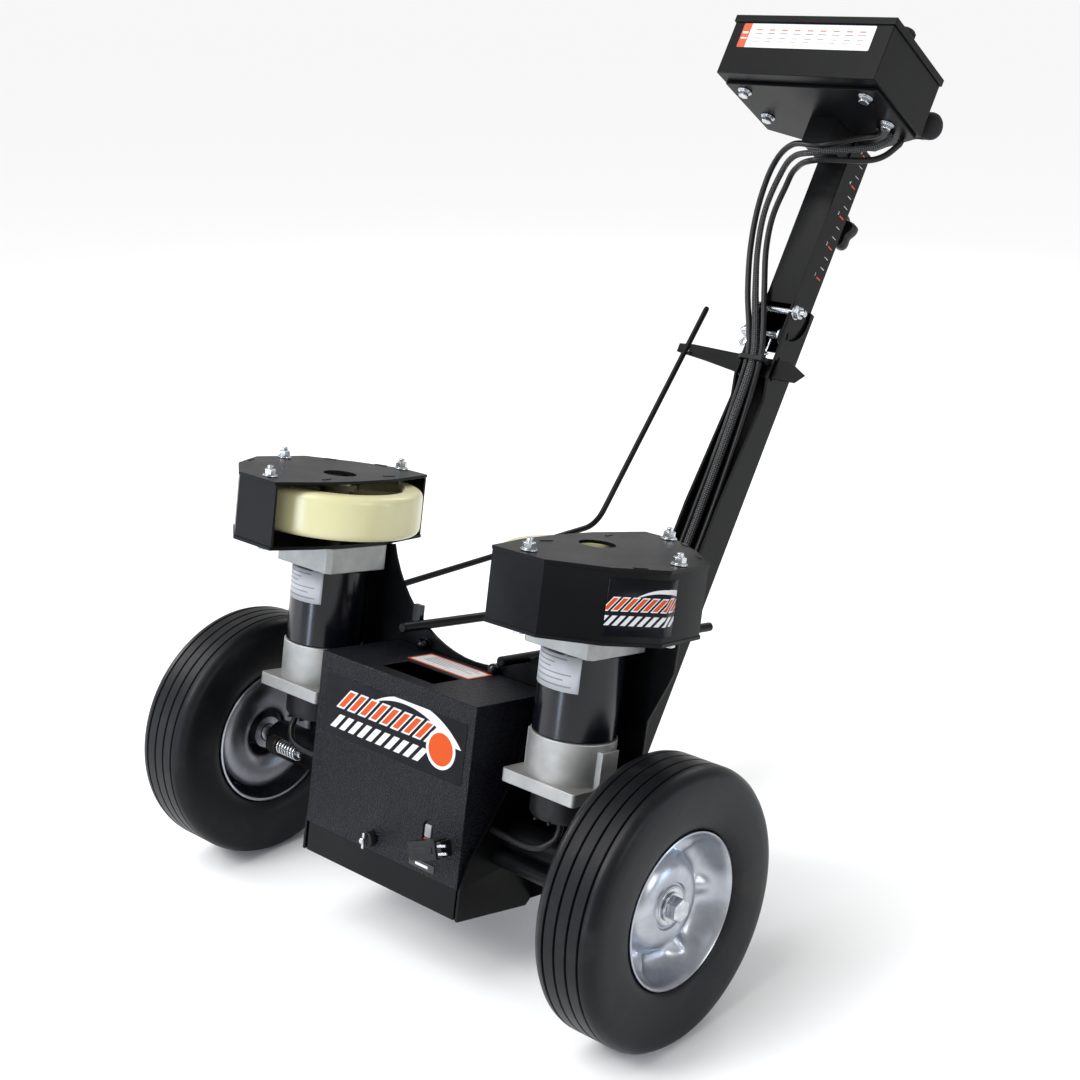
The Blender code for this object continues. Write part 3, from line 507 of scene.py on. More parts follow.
def powder_coat(name, colour=(0.0024, 0.0026, 0.0031), roughness=0.30):
    """Satin powder coat: fine orange peel, faint cloudy wear."""
    made = Finish(name, colour, roughness, shine=0.13)
    cloud = made.noise(14, 4)
    made.set("Base Color", made.mix(colour, tuple(1.6 * c + 0.001 for c in colour),
                                    cloud.eased(0.45, 0.8)))
    made.set("Roughness", cloud * 0.16 + (roughness - 0.07) + made.noise(160, 2) * 0.05)
    made.bump(made.noise(420, 2, 0.5), 0.30, 0.25 * MM)
    made.bump(made.noise(1500, 1, 0.5), 0.18, 0.08 * MM)
    return made.material


def wrinkle_coat(name):
    """Textured black coat: close grains that sparkle where light grazes them."""
    made = Finish(name, (0.004, 0.0045, 0.006), 0.34, shine=0.17)
    grains = made.cells(560)
    rough = made.noise(760, 3, 0.7)
    made.set("Base Color", made.mix((0.0016, 0.0018, 0.0030), (0.017, 0.019, 0.028),
                                    rough.eased(0.44, 0.72)))
    made.set("Roughness", rough * 0.30 + 0.18)
    made.bump(grains, 1.0, 0.90 * MM)
    made.bump(rough, 0.70, 0.60 * MM)
    return made.material


def gloss_enamel(name):
    """Wet-looking black enamel on the motor cans."""
    made = Finish(name, (0.0018, 0.0023, 0.0042), 0.20, shine=0.40)
    made.set("Roughness", made.noise(30, 3) * 0.06 + 0.17)
    made.bump(made.noise(60, 2), 0.05, 0.4 * MM)
    return made.material


def tyre_rubber(name):
    """Solid rubber: matt, dusty in patches, with a fine moulded grain."""
    made = Finish(name, (0.005, 0.0055, 0.0065), 0.46, shine=0.19)
    dust = made.noise(26, 6, 0.62, warp=0.6)
    streak = made.noise(9, 4)
    made.set("Base Color", made.mix((0.0034, 0.0038, 0.0050), (0.019, 0.018, 0.017),
                                    dust.eased(0.48, 0.84) * 0.7))
    made.set("Roughness", streak * 0.20 + 0.30)
    made.bump(made.noise(900, 3, 0.6), 0.35, 0.12 * MM)
    made.bump(dust, 0.15, 0.5 * MM)
    return made.material


def pressed_silver(name, share=1.0):
    """Silver-finished pressed steel with soft ripples and handling marks. share darkens it as painted shade.
    """
    dull, bright = (tuple(share * c for c in tone) for tone in ((0.34, 0.36, 0.40), (0.46, 0.48, 0.52)))
    made = Finish(name, (0.46, 0.48, 0.52), 0.32, 1.0)
    marks = made.noise(40, 5, 0.6, warp=0.8)
    made.set("Base Color", made.mix(dull, bright, marks.eased(0.3, 0.75)))
    made.set("Roughness", marks * 0.10 + 0.27)
    made.bump(made.noise(22, 2), 0.05, 1.2 * MM)
    made.bump(made.noise(700, 2), 0.10, 0.06 * MM)
    return made.material


def zinc_plate(name):
    """Bright zinc on fasteners, clouded by passivation."""
    made = Finish(name, (0.66, 0.67, 0.70), 0.24, 1.0)
    cloud = made.noise(150, 3)
    made.set("Base Color", made.mix((0.44, 0.46, 0.48), (0.60, 0.62, 0.64), cloud.eased(0.3, 0.7)))
    made.set("Roughness", cloud * 0.08 + 0.22)
    made.bump(made.noise(900, 2), 0.08, 0.03 * MM)
    return made.material


def cast_aluminium(name):
    """Die-cast aluminium: grained skin, with fine parallel cutter marks where it was faced."""
    made = Finish(name, (0.56, 0.56, 0.55), 0.55, 0.85, held=HEAD)
    height = made.parts()[2]
    grain = made.noise(520, 4, 0.7)
    blotch = made.noise(38, 3)
    made.set("Base Color", made.mix((0.32, 0.32, 0.31), (0.42, 0.42, 0.405), blotch.eased(0.3, 0.75)))
    made.set("Roughness", grain * 0.16 + 0.46)
    made.bump((height * 5200 + grain * 2.2).sine(), 0.10, 0.05 * MM)
    made.bump(grain, 0.38, 0.18 * MM)
    return made.material


def cream_urethane(name, colour):
    """Cast urethane: even cream with faint clouds, and a sheen that varies slightly."""
    made = Finish(name, colour, 0.30)
    cloud = made.noise(9, 1)
    deeper = tuple(c * k for c, k in zip(colour, (0.95, 0.93, 0.86)))
    made.set("Base Color", made.mix(colour, deeper, cloud.eased(0.2, 0.9)))
    made.set("Roughness", made.noise(14, 1) * 0.10 + 0.20)
    return made.material


def moulded_plastic(name, colour=(0.006, 0.006, 0.0065), roughness=0.40, grain=1100):
    """Moulded plastic with a fine grain and a faint bloom."""
    made = Finish(name, colour, roughness, shine=0.24)
    cloud = made.noise(60, 3)
    made.set("Base Color", made.mix(colour, tuple(1.7 * c for c in colour), cloud.eased(0.4, 0.8)))
    made.set("Roughness", cloud * 0.12 + roughness - 0.05)
    made.bump(made.noise(grain, 2, 0.6), 0.30, 0.10 * MM)
    return made.material


def foam_grip(name):
    """Closed-cell foam sleeve: dull black with open pores."""
    made = Finish(name, (0.007, 0.007, 0.007), 0.82, shine=0.25)
    pores = made.cells(1300)
    made.set("Base Color", made.mix((0.003, 0.003, 0.003), (0.013, 0.013, 0.014),
                                    pores.eased(0.1, 0.5)))
    made.set("Roughness", pores * 0.2 + 0.70)
    made.bump(pores, 0.60, 0.25 * MM)
    return made.material


def braided_sleeve(name):
    """Expandable sleeving: two sets of strands that cross, with a painted highlight on the nubs where they
    pass over.
    """
    made = Finish(name, (0.010, 0.010, 0.011), 0.5, shine=0.4, uv=True)
    u, v, _ = made.parts()
    strands, crossings = 12, 430
    one = ((u * strands + v * crossings) * math.pi).sine()
    two = ((u * strands - v * crossings) * math.pi).sine()
    weave = one.most(two)
    # Light grey where both strands rise: a painted highlight on the raised crossings of the black weave.
    made.set("Base Color", made.mix((0.004, 0.004, 0.005), (0.16, 0.16, 0.165),
                                    (one * two).eased(0.40, 0.95)))
    made.set("Roughness", 0.62 - weave * 0.18)
    made.bump(weave, 0.8, 0.5 * MM)
    return made.material


def paper_label(name, ink, base, band=None, rows=(), edge=None):
    """A printed label: an ink band between two places, plain bars, and a coloured edge.
    rows holds (u low, u high, v low, v high, tone) for each bar, edge the bare inside and a tone."""
    made = Finish(name, base, 0.42, uv=True)
    u, v, _ = made.parts()
    colour = made.mix(base, tuple(c * 0.93 for c in base), made.noise(40, 3).eased(0.4, 0.8))
    if band:
        colour = made.mix(colour, ink, u.between(*band))
    for u0, u1, v0, v1, tone in rows:
        colour = made.mix(colour, tone, u.between(u0, u1) * v.between(v0, v1))
    if edge:
        (u0, u1, v0, v1), tone = edge
        inside = u.between(u0, u1) * v.between(v0, v1)
        colour = made.mix(tone, colour, inside)
    made.set("Base Color", colour)
    made.set("Roughness", made.noise(200, 2) * 0.15 + 0.32)
    made.bump(made.noise(500, 2), 0.10, 0.06 * MM)
    return made.material


def speed_stripes(name, white, orange, middle, length):
    """A plain print: two rows of slanted blocks with white borders, a crescent over them and a disc."""
    made = Finish(name, (0.004, 0.0045, 0.006), 0.34, shine=0.10, uv=True)
    u, v, _ = made.parts()
    across, up = (u - middle[0]) / length, (v - middle[1]) / length
    dark = (0.0030, 0.0034, 0.0050)

    def row(start, end, low, high, pitch, share, grow):
        """Blocks of a slanted row: inside when the place within the pitch is under the share."""
        slant = across - up * 0.85
        inside = slant.between(start - grow, end + grow) * up.between(low - grow, high + grow)
        place = ((slant - start + grow) / pitch) % 1.0
        return inside * (place < (share + 2 * grow / pitch))

    def disc(x, y, radius):
        far_x, far_y = across - x, up - y
        return (far_x * far_x + far_y * far_y).root() < radius

    sheet = made.mix(dark, (0.007, 0.0075, 0.011), made.noise(30, 3).eased(0.3, 0.8))
    crescent = disc(0.14, -0.34, 0.52) * (1 - disc(0.09, -0.40, 0.545)) * (up > 0.02)
    sheet = made.mix(sheet, white, crescent)
    upper = (-0.400, 0.262, 0.002, 0.098, 0.0830, 0.50)
    lower = (-0.345, 0.355, -0.122, -0.042, 0.0700, 0.60)
    sheet = made.mix(sheet, white, row(*upper, 0.0095))
    sheet = made.mix(sheet, orange, row(*upper, 0.0))
    sheet = made.mix(sheet, white, row(*lower, 0.0))
    sheet = made.mix(sheet, white, disc(0.375, -0.015, 0.104))
    sheet = made.mix(sheet, orange, disc(0.375, -0.015, 0.086))
    made.set("Base Color", sheet)
    made.set("Roughness", made.noise(300, 2) * 0.12 + 0.24)
    made.bump(made.noise(700, 3), 0.22, 0.10 * MM)
    return made.material


FINISHES = {}


def mix_finishes(settings):
    """Makes every finish that several pieces share, from the settings of the paint panel."""
    white, orange = tuple(settings.print_white), tuple(settings.print_orange)
    FINISHES.update(
        coat=powder_coat("satin_black_coat"),
        wrinkle=wrinkle_coat("wrinkle_black_coat"),
        enamel=gloss_enamel("gloss_black_enamel"),
        rubber=tyre_rubber("solid_tyre_rubber"),
        rim=pressed_silver("pressed_silver_rim"),
        # The back of the rim is the same silver darkened to about half: painted shade.
        rim_back=pressed_silver("shaded_rim_back", 0.52),
        zinc=zinc_plate("bright_zinc"),
        cast=cast_aluminium("cast_aluminium"),
        urethane=cream_urethane("cream_urethane", tuple(settings.wheel_cream)),
        # Hub, web and spokes: a dark olive that is partly their own colour and partly painted shade for the
        # hollow of the dish.
        hub=moulded_plastic("olive_hub_painted_shade", (0.115, 0.105, 0.062), 0.42, 600),
        plastic=moulded_plastic("black_moulding"),
        jacket=moulded_plastic("cable_jacket", (0.005, 0.005, 0.0055), 0.34, 500),
        braid=braided_sleeve("braided_sleeve"),
        foam=foam_grip("grip_foam"),
        red=moulded_plastic("red_moulding", (0.42, 0.012, 0.009), 0.34),
        clear=moulded_plastic("pale_moulding", (0.22, 0.23, 0.24), 0.26),
        white_mark=moulded_plastic("white_marking", white, 0.5),
        orange_mark=moulded_plastic("orange_marking", orange, 0.5),
        cover_print=speed_stripes("cover_stripes", white, orange, (-0.002, 0.089), 0.176),
        guard_print=speed_stripes("guard_stripes", white, orange, (0.006, 0.257), 0.104),
    )


# ---------------------------------------------------------------- settings


class BALL_PG_wheels(bpy.types.PropertyGroup):
    tyre_radius: FloatProperty(name="Tyre radius", description="Radius of a ground wheel",
                               default=0.127, unit="LENGTH")
    tyre_width: FloatProperty(name="Tyre width", description="Width over the side walls", default=0.066,
                              unit="LENGTH")
    grooves: IntProperty(name="Grooves", description="Grooves round the tread", default=4)
    groove_depth: FloatProperty(name="Groove depth", description="Depth of a tread groove",
                                default=0.0026, unit="LENGTH")
    dents: IntProperty(name="Rim dents", description="Pressed dents round the rim", default=6)


class BALL_PG_paint(bpy.types.PropertyGroup):
    wheel_cream: FloatVectorProperty(
        name="Throwing wheel", description="Colour of the urethane", default=(0.60, 0.575, 0.345),
        subtype="COLOR")
    print_white: FloatVectorProperty(
        name="Print white", description="Light colour of prints and marks", default=(0.60, 0.60, 0.62),
        subtype="COLOR")
    print_orange: FloatVectorProperty(
        name="Print orange", description="Warm colour of prints and marks",
        default=(0.50, 0.066, 0.011), subtype="COLOR")


class BALL_PG_stage(bpy.types.PropertyGroup):
    lens: FloatProperty(name="Lens", description="Focal length", default=57.7, unit="CAMERA")
    distance: FloatProperty(name="Distance", description="Camera to target", default=1.476,
                            unit="LENGTH")
    azimuth: FloatProperty(
        name="Azimuth", description="Camera turn round the machine", default=math.radians(42.1),
        subtype="ANGLE")
    elevation: FloatProperty(
        name="Elevation", description="Camera height as an angle", default=math.radians(18.0),
        subtype="ANGLE")


# ---------------------------------------------------------------- operators


def tyre_profile(settings):
    """(radius, height) round a tyre section: bulged walls, a shoulder line and square grooves."""
    half, tread = settings.tyre_width / 2, settings.tyre_radius
    spacing, cut, deep = 0.0124, 0.0010, tread - settings.groove_depth
    shoulder = ((0.0036, 0.0042), (0.0012, 0.0074), (0.0002, 0.0110))
    groove = ((tread - 0.0001, cut + 0.0004), (tread - 0.0006, cut), (deep, cut * 0.7))
    top = [(tread - drop, -half + inset) for drop, inset in shoulder]
    for index in range(settings.grooves):
        middle = (index - (settings.grooves - 1) / 2) * spacing
        top += [(r, middle - away) for r, away in groove]
        top += [(r, middle + away) for r, away in reversed(groove)]
    top += [(tread - drop, half - inset) for drop, inset in reversed(shoulder)]
    wall = [(0.1215, half - 0.0022), (0.117, half - 0.0006), (0.108, half), (0.095, half - 0.0003)]
    wall += [(0.083, half - 0.0014), (0.0760, half - 0.0034), (0.0722, half - 0.0062),
             (0.0711, half - 0.0085)]
    return [(r, -h) for r, h in reversed(wall)] + top + wall


def rim_profile():
    """Section of the pressed rim, outer face then inner face, as a closed ring."""
    outer = [(0.0708, 0.0262), (0.0705, 0.0278), (0.0692, 0.0284), (0.0680, 0.0274), (0.0662, 0.0235)]
    outer += [(0.0640, 0.0175), (0.0612, 0.0110), (0.0580, 0.0055), (0.0540, 0.0020), (0.0500, 0.0008)]
    outer += [(0.0465, 0.0018), (0.0438, 0.0048), (0.0410, 0.0090), (0.0370, 0.0128), (0.0320, 0.0150)]
    outer += [(0.0265, 0.0156), (0.0215, 0.0150), (0.0202, 0.0132), (0.0190, 0.0132), (0.0178, 0.0148)]
    outer += [(0.0160, 0.0150), (0.0150, 0.0128), (0.0140, 0.0108), (0.0095, 0.0108)]
    inner = [(r, h - 0.0016) for r, h in reversed(outer[4:])]
    back = [(0.0670, 0.0200), (0.0682, 0.0100), (0.0686, -0.0120), (0.0690, -0.0240), (0.0680, -0.0272)]
    back += [(0.0692, -0.0284), (0.0706, -0.0276), (0.0708, -0.0262)]
    hub = [(0.0095, -0.0150), (0.0165, -0.0150), (0.0170, 0.0070)]
    return outer + hub + [(r, h) for r, h in inner if r > 0.0172] + back


def rim_dents(count):
    """A smooth hollow at each of a few even angles, in the outer slope of the dish: a bell curve of
    the radius times the fifth power of half of one plus the cosine of the turned angle."""
    depth, middle, spread, turn = 0.0078, 0.0540, 0.0068, 0.6

    def dent(radius, height, angle):
        along_radius = np.exp(-(((radius - middle) / spread) ** 2))
        around = 0.5 + 0.5 * np.cos(angle * count + turn)
        faces_out = (height > -0.004).astype(float)
        return depth * along_radius * around**5 * faces_out

    return dent


class BALL_OT_ground_wheels(bpy.types.Operator):
    """Ribbed tyres, pressed rims and axle bolts"""

    bl_idname = "ball.ground_wheels"
    bl_label = "Ground wheels"

    def execute(self, context):
        settings = context.scene.ball_wheels
        for tag, side in SIDES:
            body, at = f"wheel_{tag}", (side * TRACK_HALF, AXLE_Y, AXLE_HEIGHT)
            tyre = revolved(tyre_profile(settings), 160, "X", True, at)
            piece(f"tyre_{tag}_ribbed", [tyre], FINISHES["rubber"], body, stands_for=(f"tyre_{tag}",),
                  smooth=40)
            profile = [(r, side * h) for r, h in rim_profile()]
            dent = rim_dents(settings.dents)
            shaped = revolved(profile, 120, "X", True, at, lambda r, h, a: side * dent(r, side * h, a))
            piece(f"rim_{tag}_pressed", [shaped], FINISHES["rim"], body, stands_for=(f"rim_{tag}",),
                  smooth=45)
            # A bulge on the back of the rim, in the darkened silver that paints shade on it.
            bulge = np.array(arc((0.0425, -0.0100), 0.0185, 180, 540, 40)[:-1])
            back = revolved(bulge * (1, side * 0.62) - (0, side * 0.004), 96, "X", True, at)
            piece(f"rim_{tag}_back", [back], FINISHES["rim_back"], body, smooth=45)
            self.bolt(tag, side, at)
        return {"FINISHED"}

    def bolt(self, tag, side, at):
        """Threaded end, nut, two washers and a hexagon head, on the axle line."""
        seat = 0.0112
        washer = [(0.0085, seat + 0.0020), (0.0166, seat + 0.0020), (0.0170, seat + 0.0025),
                  (0.0166, seat + 0.0042), (0.0085, seat + 0.0042)]
        collar = [(0.0085, seat + 0.0044), (0.0128, seat + 0.0044), (0.0132, seat + 0.0066),
                  (0.0085, seat + 0.0066)]
        core = [(0, -0.043), (0.0080, -0.043), (0.0085, -0.042), (0.0085, seat + 0.0070),
                (0, seat + 0.0070)]
        shapes = [revolved([(r, side * h) for r, h in p], 48, "X", closed, at)
                  for p, closed in ((washer, True), (collar, True), (core, False))]
        head = hexagon(0.0112, seat + 0.0066, seat + 0.0160, "X", turn=0.35)
        shapes.append(placed(head, (side, 1, 1), at))
        piece(f"axle_bolt_{tag}", shapes, FINISHES["zinc"], "chassis", stands_for=(f"hub_bolt_{tag}",),
              edge=0.0004)
        section = [(r, side * h) for r, h in ring(0.0086, 0.0182, 0.0109, 0.0128)]
        spacer = revolved(section, 40, "X", True, at)
        piece(f"axle_spacer_{tag}", [spacer], FINISHES["plastic"], "chassis")


class BALL_OT_throwing_wheels(bpy.types.Operator):
    """Cream urethane wheels on spoked hubs"""

    bl_idname = "ball.throwing_wheels"
    bl_label = "Throwing wheels"

    def execute(self, context):
        low, high, edge, inner, corner = THROW_LOW, THROW_HIGH, THROW_RADIUS, 0.0625, 0.007
        quarter = np.linspace(0, math.pi / 2, 8)
        for tag, side in SIDES:
            at = (side * WHEEL_X, WHEEL_Y, 0)
            section = [(inner, low + 0.003), (inner + 0.003, low)]
            section += [(edge - corner + corner * math.sin(a),
                         low + corner - corner * math.cos(a)) for a in quarter]
            section += [(edge + 0.0002, low + 0.015), (edge + 0.0002, high - 0.015)]
            section += [(edge - corner + corner * math.cos(a),
                         high - corner + corner * math.sin(a)) for a in quarter]
            section += [(inner + 0.003, high), (inner, high - 0.003)]
            tyre = revolved(section, 128, "Z", True, at)
            piece(f"throw_tyre_{tag}", [tyre], FINISHES["urethane"], f"throw_{tag}", HEAD, smooth=38)
            web = ring(0.015, 0.0630, low + 0.016, high - 0.017)
            shapes = [revolved(web, 96, "Z", True, at)]
            for turn in range(6):
                shapes.append(self.spoke(turn * math.tau / 6, low + 0.006, high - 0.006, at))
            hub = [(0.0095, low + 0.001), (0.016, low + 0.001), (0.018, low + 0.004),
                   (0.018, high - 0.003)]
            hub += [(0.016, high - 0.001), (0.0095, high - 0.001)]
            shapes.append(revolved(hub, 64, "Z", True, at))
            # The hub, web and spokes take the darkened olive: partly their own colour, partly painted shade
            # inside the dish.
            piece(f"throw_hub_{tag}", shapes, FINISHES["hub"], f"throw_{tag}", HEAD,
                  (f"throw_wheel_{tag}",), smooth=38)
            shaft = [(0, 0.205), (0.0068, 0.205), (0.0068, high + 0.0018), (0.0060, high + 0.0028),
                     (0, high + 0.0028)]
            collar = ring(0.0068, 0.0150, high - 0.0008, high + 0.0012)
            metal = [revolved(shaft, 40, "Z", False, at), revolved(collar, 48, "Z", True, at)]
            piece(f"throw_shaft_{tag}", metal, FINISHES["zinc"], f"throw_{tag}", HEAD, edge=0.0003)
        return {"FINISHED"}

    def spoke(self, angle, low, high, at):
        """A straight rib from hub to rim, as a plate turned about the hub."""
        c, s = math.cos(angle), math.sin(angle)
        corners = np.array(((0.0165, -0.0022), (0.0635, -0.0022), (0.0635, 0.0022), (0.0165, 0.0022)))
        return plate(corners @ np.array(((c, s), (-s, c))), low, high, "Z", at)


class BALL_OT_motors(bpy.types.Operator):
    """Motor cans, bells, mounting blocks, brush caps and leads"""

    bl_idname = "ball.motors"
    bl_label = "Motors"

    def execute(self, context):
        for tag, side in SIDES:
            at = (side * WHEEL_X, WHEEL_Y, 0)
            can = [(0, CAN_LOW), (0.0365, CAN_LOW), (CAN_RADIUS, 0.1252), (CAN_RADIUS, 0.2002)]
            can += [(0.0365, CAN_HIGH), (0, CAN_HIGH)]
            piece(f"motor_can_{tag}_drawn", [revolved(can, 128, "Z", False, at)], FINISHES["enamel"],
                  "chassis", HEAD,
                  (f"motor_can_{tag}",))
            self.bell(tag, side, at)
            edged(f"motor_mount_{tag}", FINISHES["cast"], 0.8 * MM)
            cap = [(0, 0.0460), (0.0250, 0.0460), (0.0290, 0.0470), (0.0308, 0.0500), (0.0310, 0.0540),
                   (0.0310, 0.0732), (0, 0.0732)]
            ribs = [block((at[0] + x - 0.0012, at[1] - 0.0300, 0.0452),
                          (at[0] + x + 0.0012, at[1] + 0.0300, 0.0475))
                    for x in (-0.008, 0.008)]
            piece(f"brush_cap_{tag}_moulded", [revolved(cap, 72, "Z", False, at), *ribs],
                  FINISHES["plastic"], "chassis",
                  HEAD, (f"brush_cap_{tag}",), edge=0.0003)
            self.label(tag, at)
            self.lead(tag, side)
        return {"FINISHED"}

    def bell(self, tag, side, at):
        """Turned bell with two ears and a square flange."""
        half, ear = 0.042, 0.040
        bell = [(0, 0.0840), (0.0385, 0.0840), (0.0390, 0.0850), (0.0390, 0.1232), (0.0382, 0.1240),
                (0, 0.1240)]
        shapes = [revolved(bell, 96, "Z", False, at)]
        shapes.append(plate(rounded(2 * half, 2 * half, 0.004, at[:2]), 0.0735, 0.0855))
        for turn in (1, -1):
            shapes.append(block((at[0] + turn * ear - 0.0035, at[1] - 0.011, 0.084),
                                (at[0] + turn * ear + 0.0035, at[1] + 0.011, 0.118)))
        piece(f"motor_bell_{tag}_cast", shapes, FINISHES["cast"], "chassis", HEAD,
              (f"motor_bell_{tag}",), edge=0.0007)

    def label(self, tag, at):
        """A curved label on the front of the can, with plain bars for its print."""
        first, last, radius = -140, -52, 0.0377
        a, h = np.meshgrid(np.radians(np.linspace(first, last, 24)), np.linspace(0.1675, 0.1990, 3))
        points = np.stack((radius * np.cos(a), radius * np.sin(a), h), -1) + at
        grey = (0.20, 0.20, 0.22)
        start = math.radians(first) * radius + 0.005
        bars = ((0.040, 0.1950), (0.028, 0.1908), (0.024, 0.1866), (0.045, 0.1818), (0.038, 0.1770),
                (0.046, 0.1716))
        rows = [(start, start + run, z, z + 0.0013, grey) for run, z in bars]
        key = "can_label"
        if key not in FINISHES:
            FINISHES[key] = paper_label(key, grey, (0.42, 0.43, 0.46), rows=rows)
        printed_sheet(f"can_label_{tag}", points, np.stack((a * radius, h), -1), FINISHES[key], 32)

    def lead(self, tag, side):
        """Two-core lead that hangs in a loop from the brush cap to the battery box."""
        x, y = side * WHEEL_X, WHEEL_Y
        route = [(x + side * 0.012, y - 0.018, 0.0457), (x + side * 0.012, y - 0.018, 0.040),
                 (x + side * 0.011, y - 0.022, 0.031),
                 (x, y - 0.028, 0.022), (x - side * 0.020, y - 0.028, 0.018),
                 (side * 0.1195, y - 0.026, 0.018),
                 (side * 0.1058, y - 0.024, 0.018)]
        path = to_world(smooth_path(route, 60), HEAD)
        tube(f"motor_lead_{tag}_jacket", path, 0.0032, FINISHES["jacket"], "chassis", 16,
             (f"motor_lead_{tag}",))


class BALL_OT_guards(bpy.types.Operator):
    """Folded wheel guards with through bolts and a printed panel"""

    bl_idname = "ball.guards"
    bl_label = "Wheel guards"

    def execute(self, context):
        for tag, side in SIDES:
            edged(f"guard_top_{tag}", FINISHES["coat"], 0.5 * MM)
            edged(f"guard_tray_{tag}", FINISHES["coat"], 0.5 * MM)
            spots = ((0.165, -0.1025), (0.173, 0.0765), (0.2515, -0.012))
            for number, (x, y) in enumerate(spots, 1):
                self.bolt(tag, number, (side * x, y, 0))
            self.tabs(tag, side)
        self.print_panel()
        return {"FINISHED"}

    def bolt(self, tag, number, at):
        """Long bolt through both plates: head below, washer, nut and thread end above."""
        floor, roof = GUARD_FLOOR, GUARD_ROOF
        head = hexagon(0.0058, -floor, -floor + 0.0045, turn=0.2 * number)
        shapes = [placed(head, (1, 1, -1), at)]
        core = [(0, floor - 0.001), (0.0029, floor - 0.001), (0.0029, roof + 0.0098),
                (0.0024, roof + 0.0104), (0, roof + 0.0104)]
        washer = [(0.0029, roof), (0.0072, roof), (0.0074, roof + 0.0004), (0.0072, roof + 0.0013),
                  (0.0029, roof + 0.0013)]
        collar = ring(0.0029, 0.0062, roof + 0.0013, roof + 0.0022)
        shapes.append(revolved(core, 24, "Z", False, at))
        shapes += [revolved(section, 36, "Z", True, at) for section in (washer, collar)]
        shapes.append(hexagon(0.0058, roof + 0.0022, roof + 0.0070, "Z", at, 0.5 * number))
        piece(f"guard_bolt_{tag}_{number}_set", shapes, FINISHES["zinc"], "chassis", HEAD,
              (f"guard_bolt_{tag}_{number}",), edge=0.0003)

    def tabs(self, tag, side):
        """Ends of the wall tabs that fill the slots of the top plate."""
        shapes = []
        for x, y, turn in ((0.1405, -0.053, 76), (0.142, 0.030, 104), (0.236, 0.0365, -38),
                           (0.2475, -0.058, 60), (0.196, 0.070, -28)):
            c, s = math.cos(math.radians(turn)), math.sin(math.radians(turn))
            outline = np.array(rounded(0.013, 0.0030, 0.0006, count=2)) @ np.array(((c, s), (-s, c)))
            outline = outline * (side, 1)
            if side < 0:
                outline = outline[::-1]
            shapes.append(plate(outline, 0.2915, 0.29255, "Z", (side * x, y, 0)))
        piece(f"guard_tabs_{tag}", shapes, FINISHES["coat"], "chassis", HEAD, edge=0.0002)

    def print_panel(self):
        """Stripe print wrapped round two panels at the front of the +X guard."""
        corners = np.array(((0.194, -0.116), (0.237, -0.082), (0.264, -0.038), (0.259, 0.022)))
        start = corners[1] + (corners[0] - corners[1]) * 0.02
        path = np.array((start, corners[1], corners[2], corners[2] + (corners[3] - corners[2]) * 0.22))
        run = np.concatenate(([0], np.cumsum(np.linalg.norm(np.diff(path, axis=0), axis=1))))
        normals = np.array(((0.62, -0.785), (0.755, -0.655), (0.93, -0.36), (0.99, 0.08)))
        path = path - normals * 0.0008
        levels = [np.full(len(path), height) for height in (0.2355, 0.2835)]
        points = np.stack([np.column_stack((path, level)) for level in levels])
        places = np.stack([np.column_stack((run - run[-1] / 2, level)) for level in levels])
        printed_sheet("guard_print", points, places, FINISHES["guard_print"], 20)


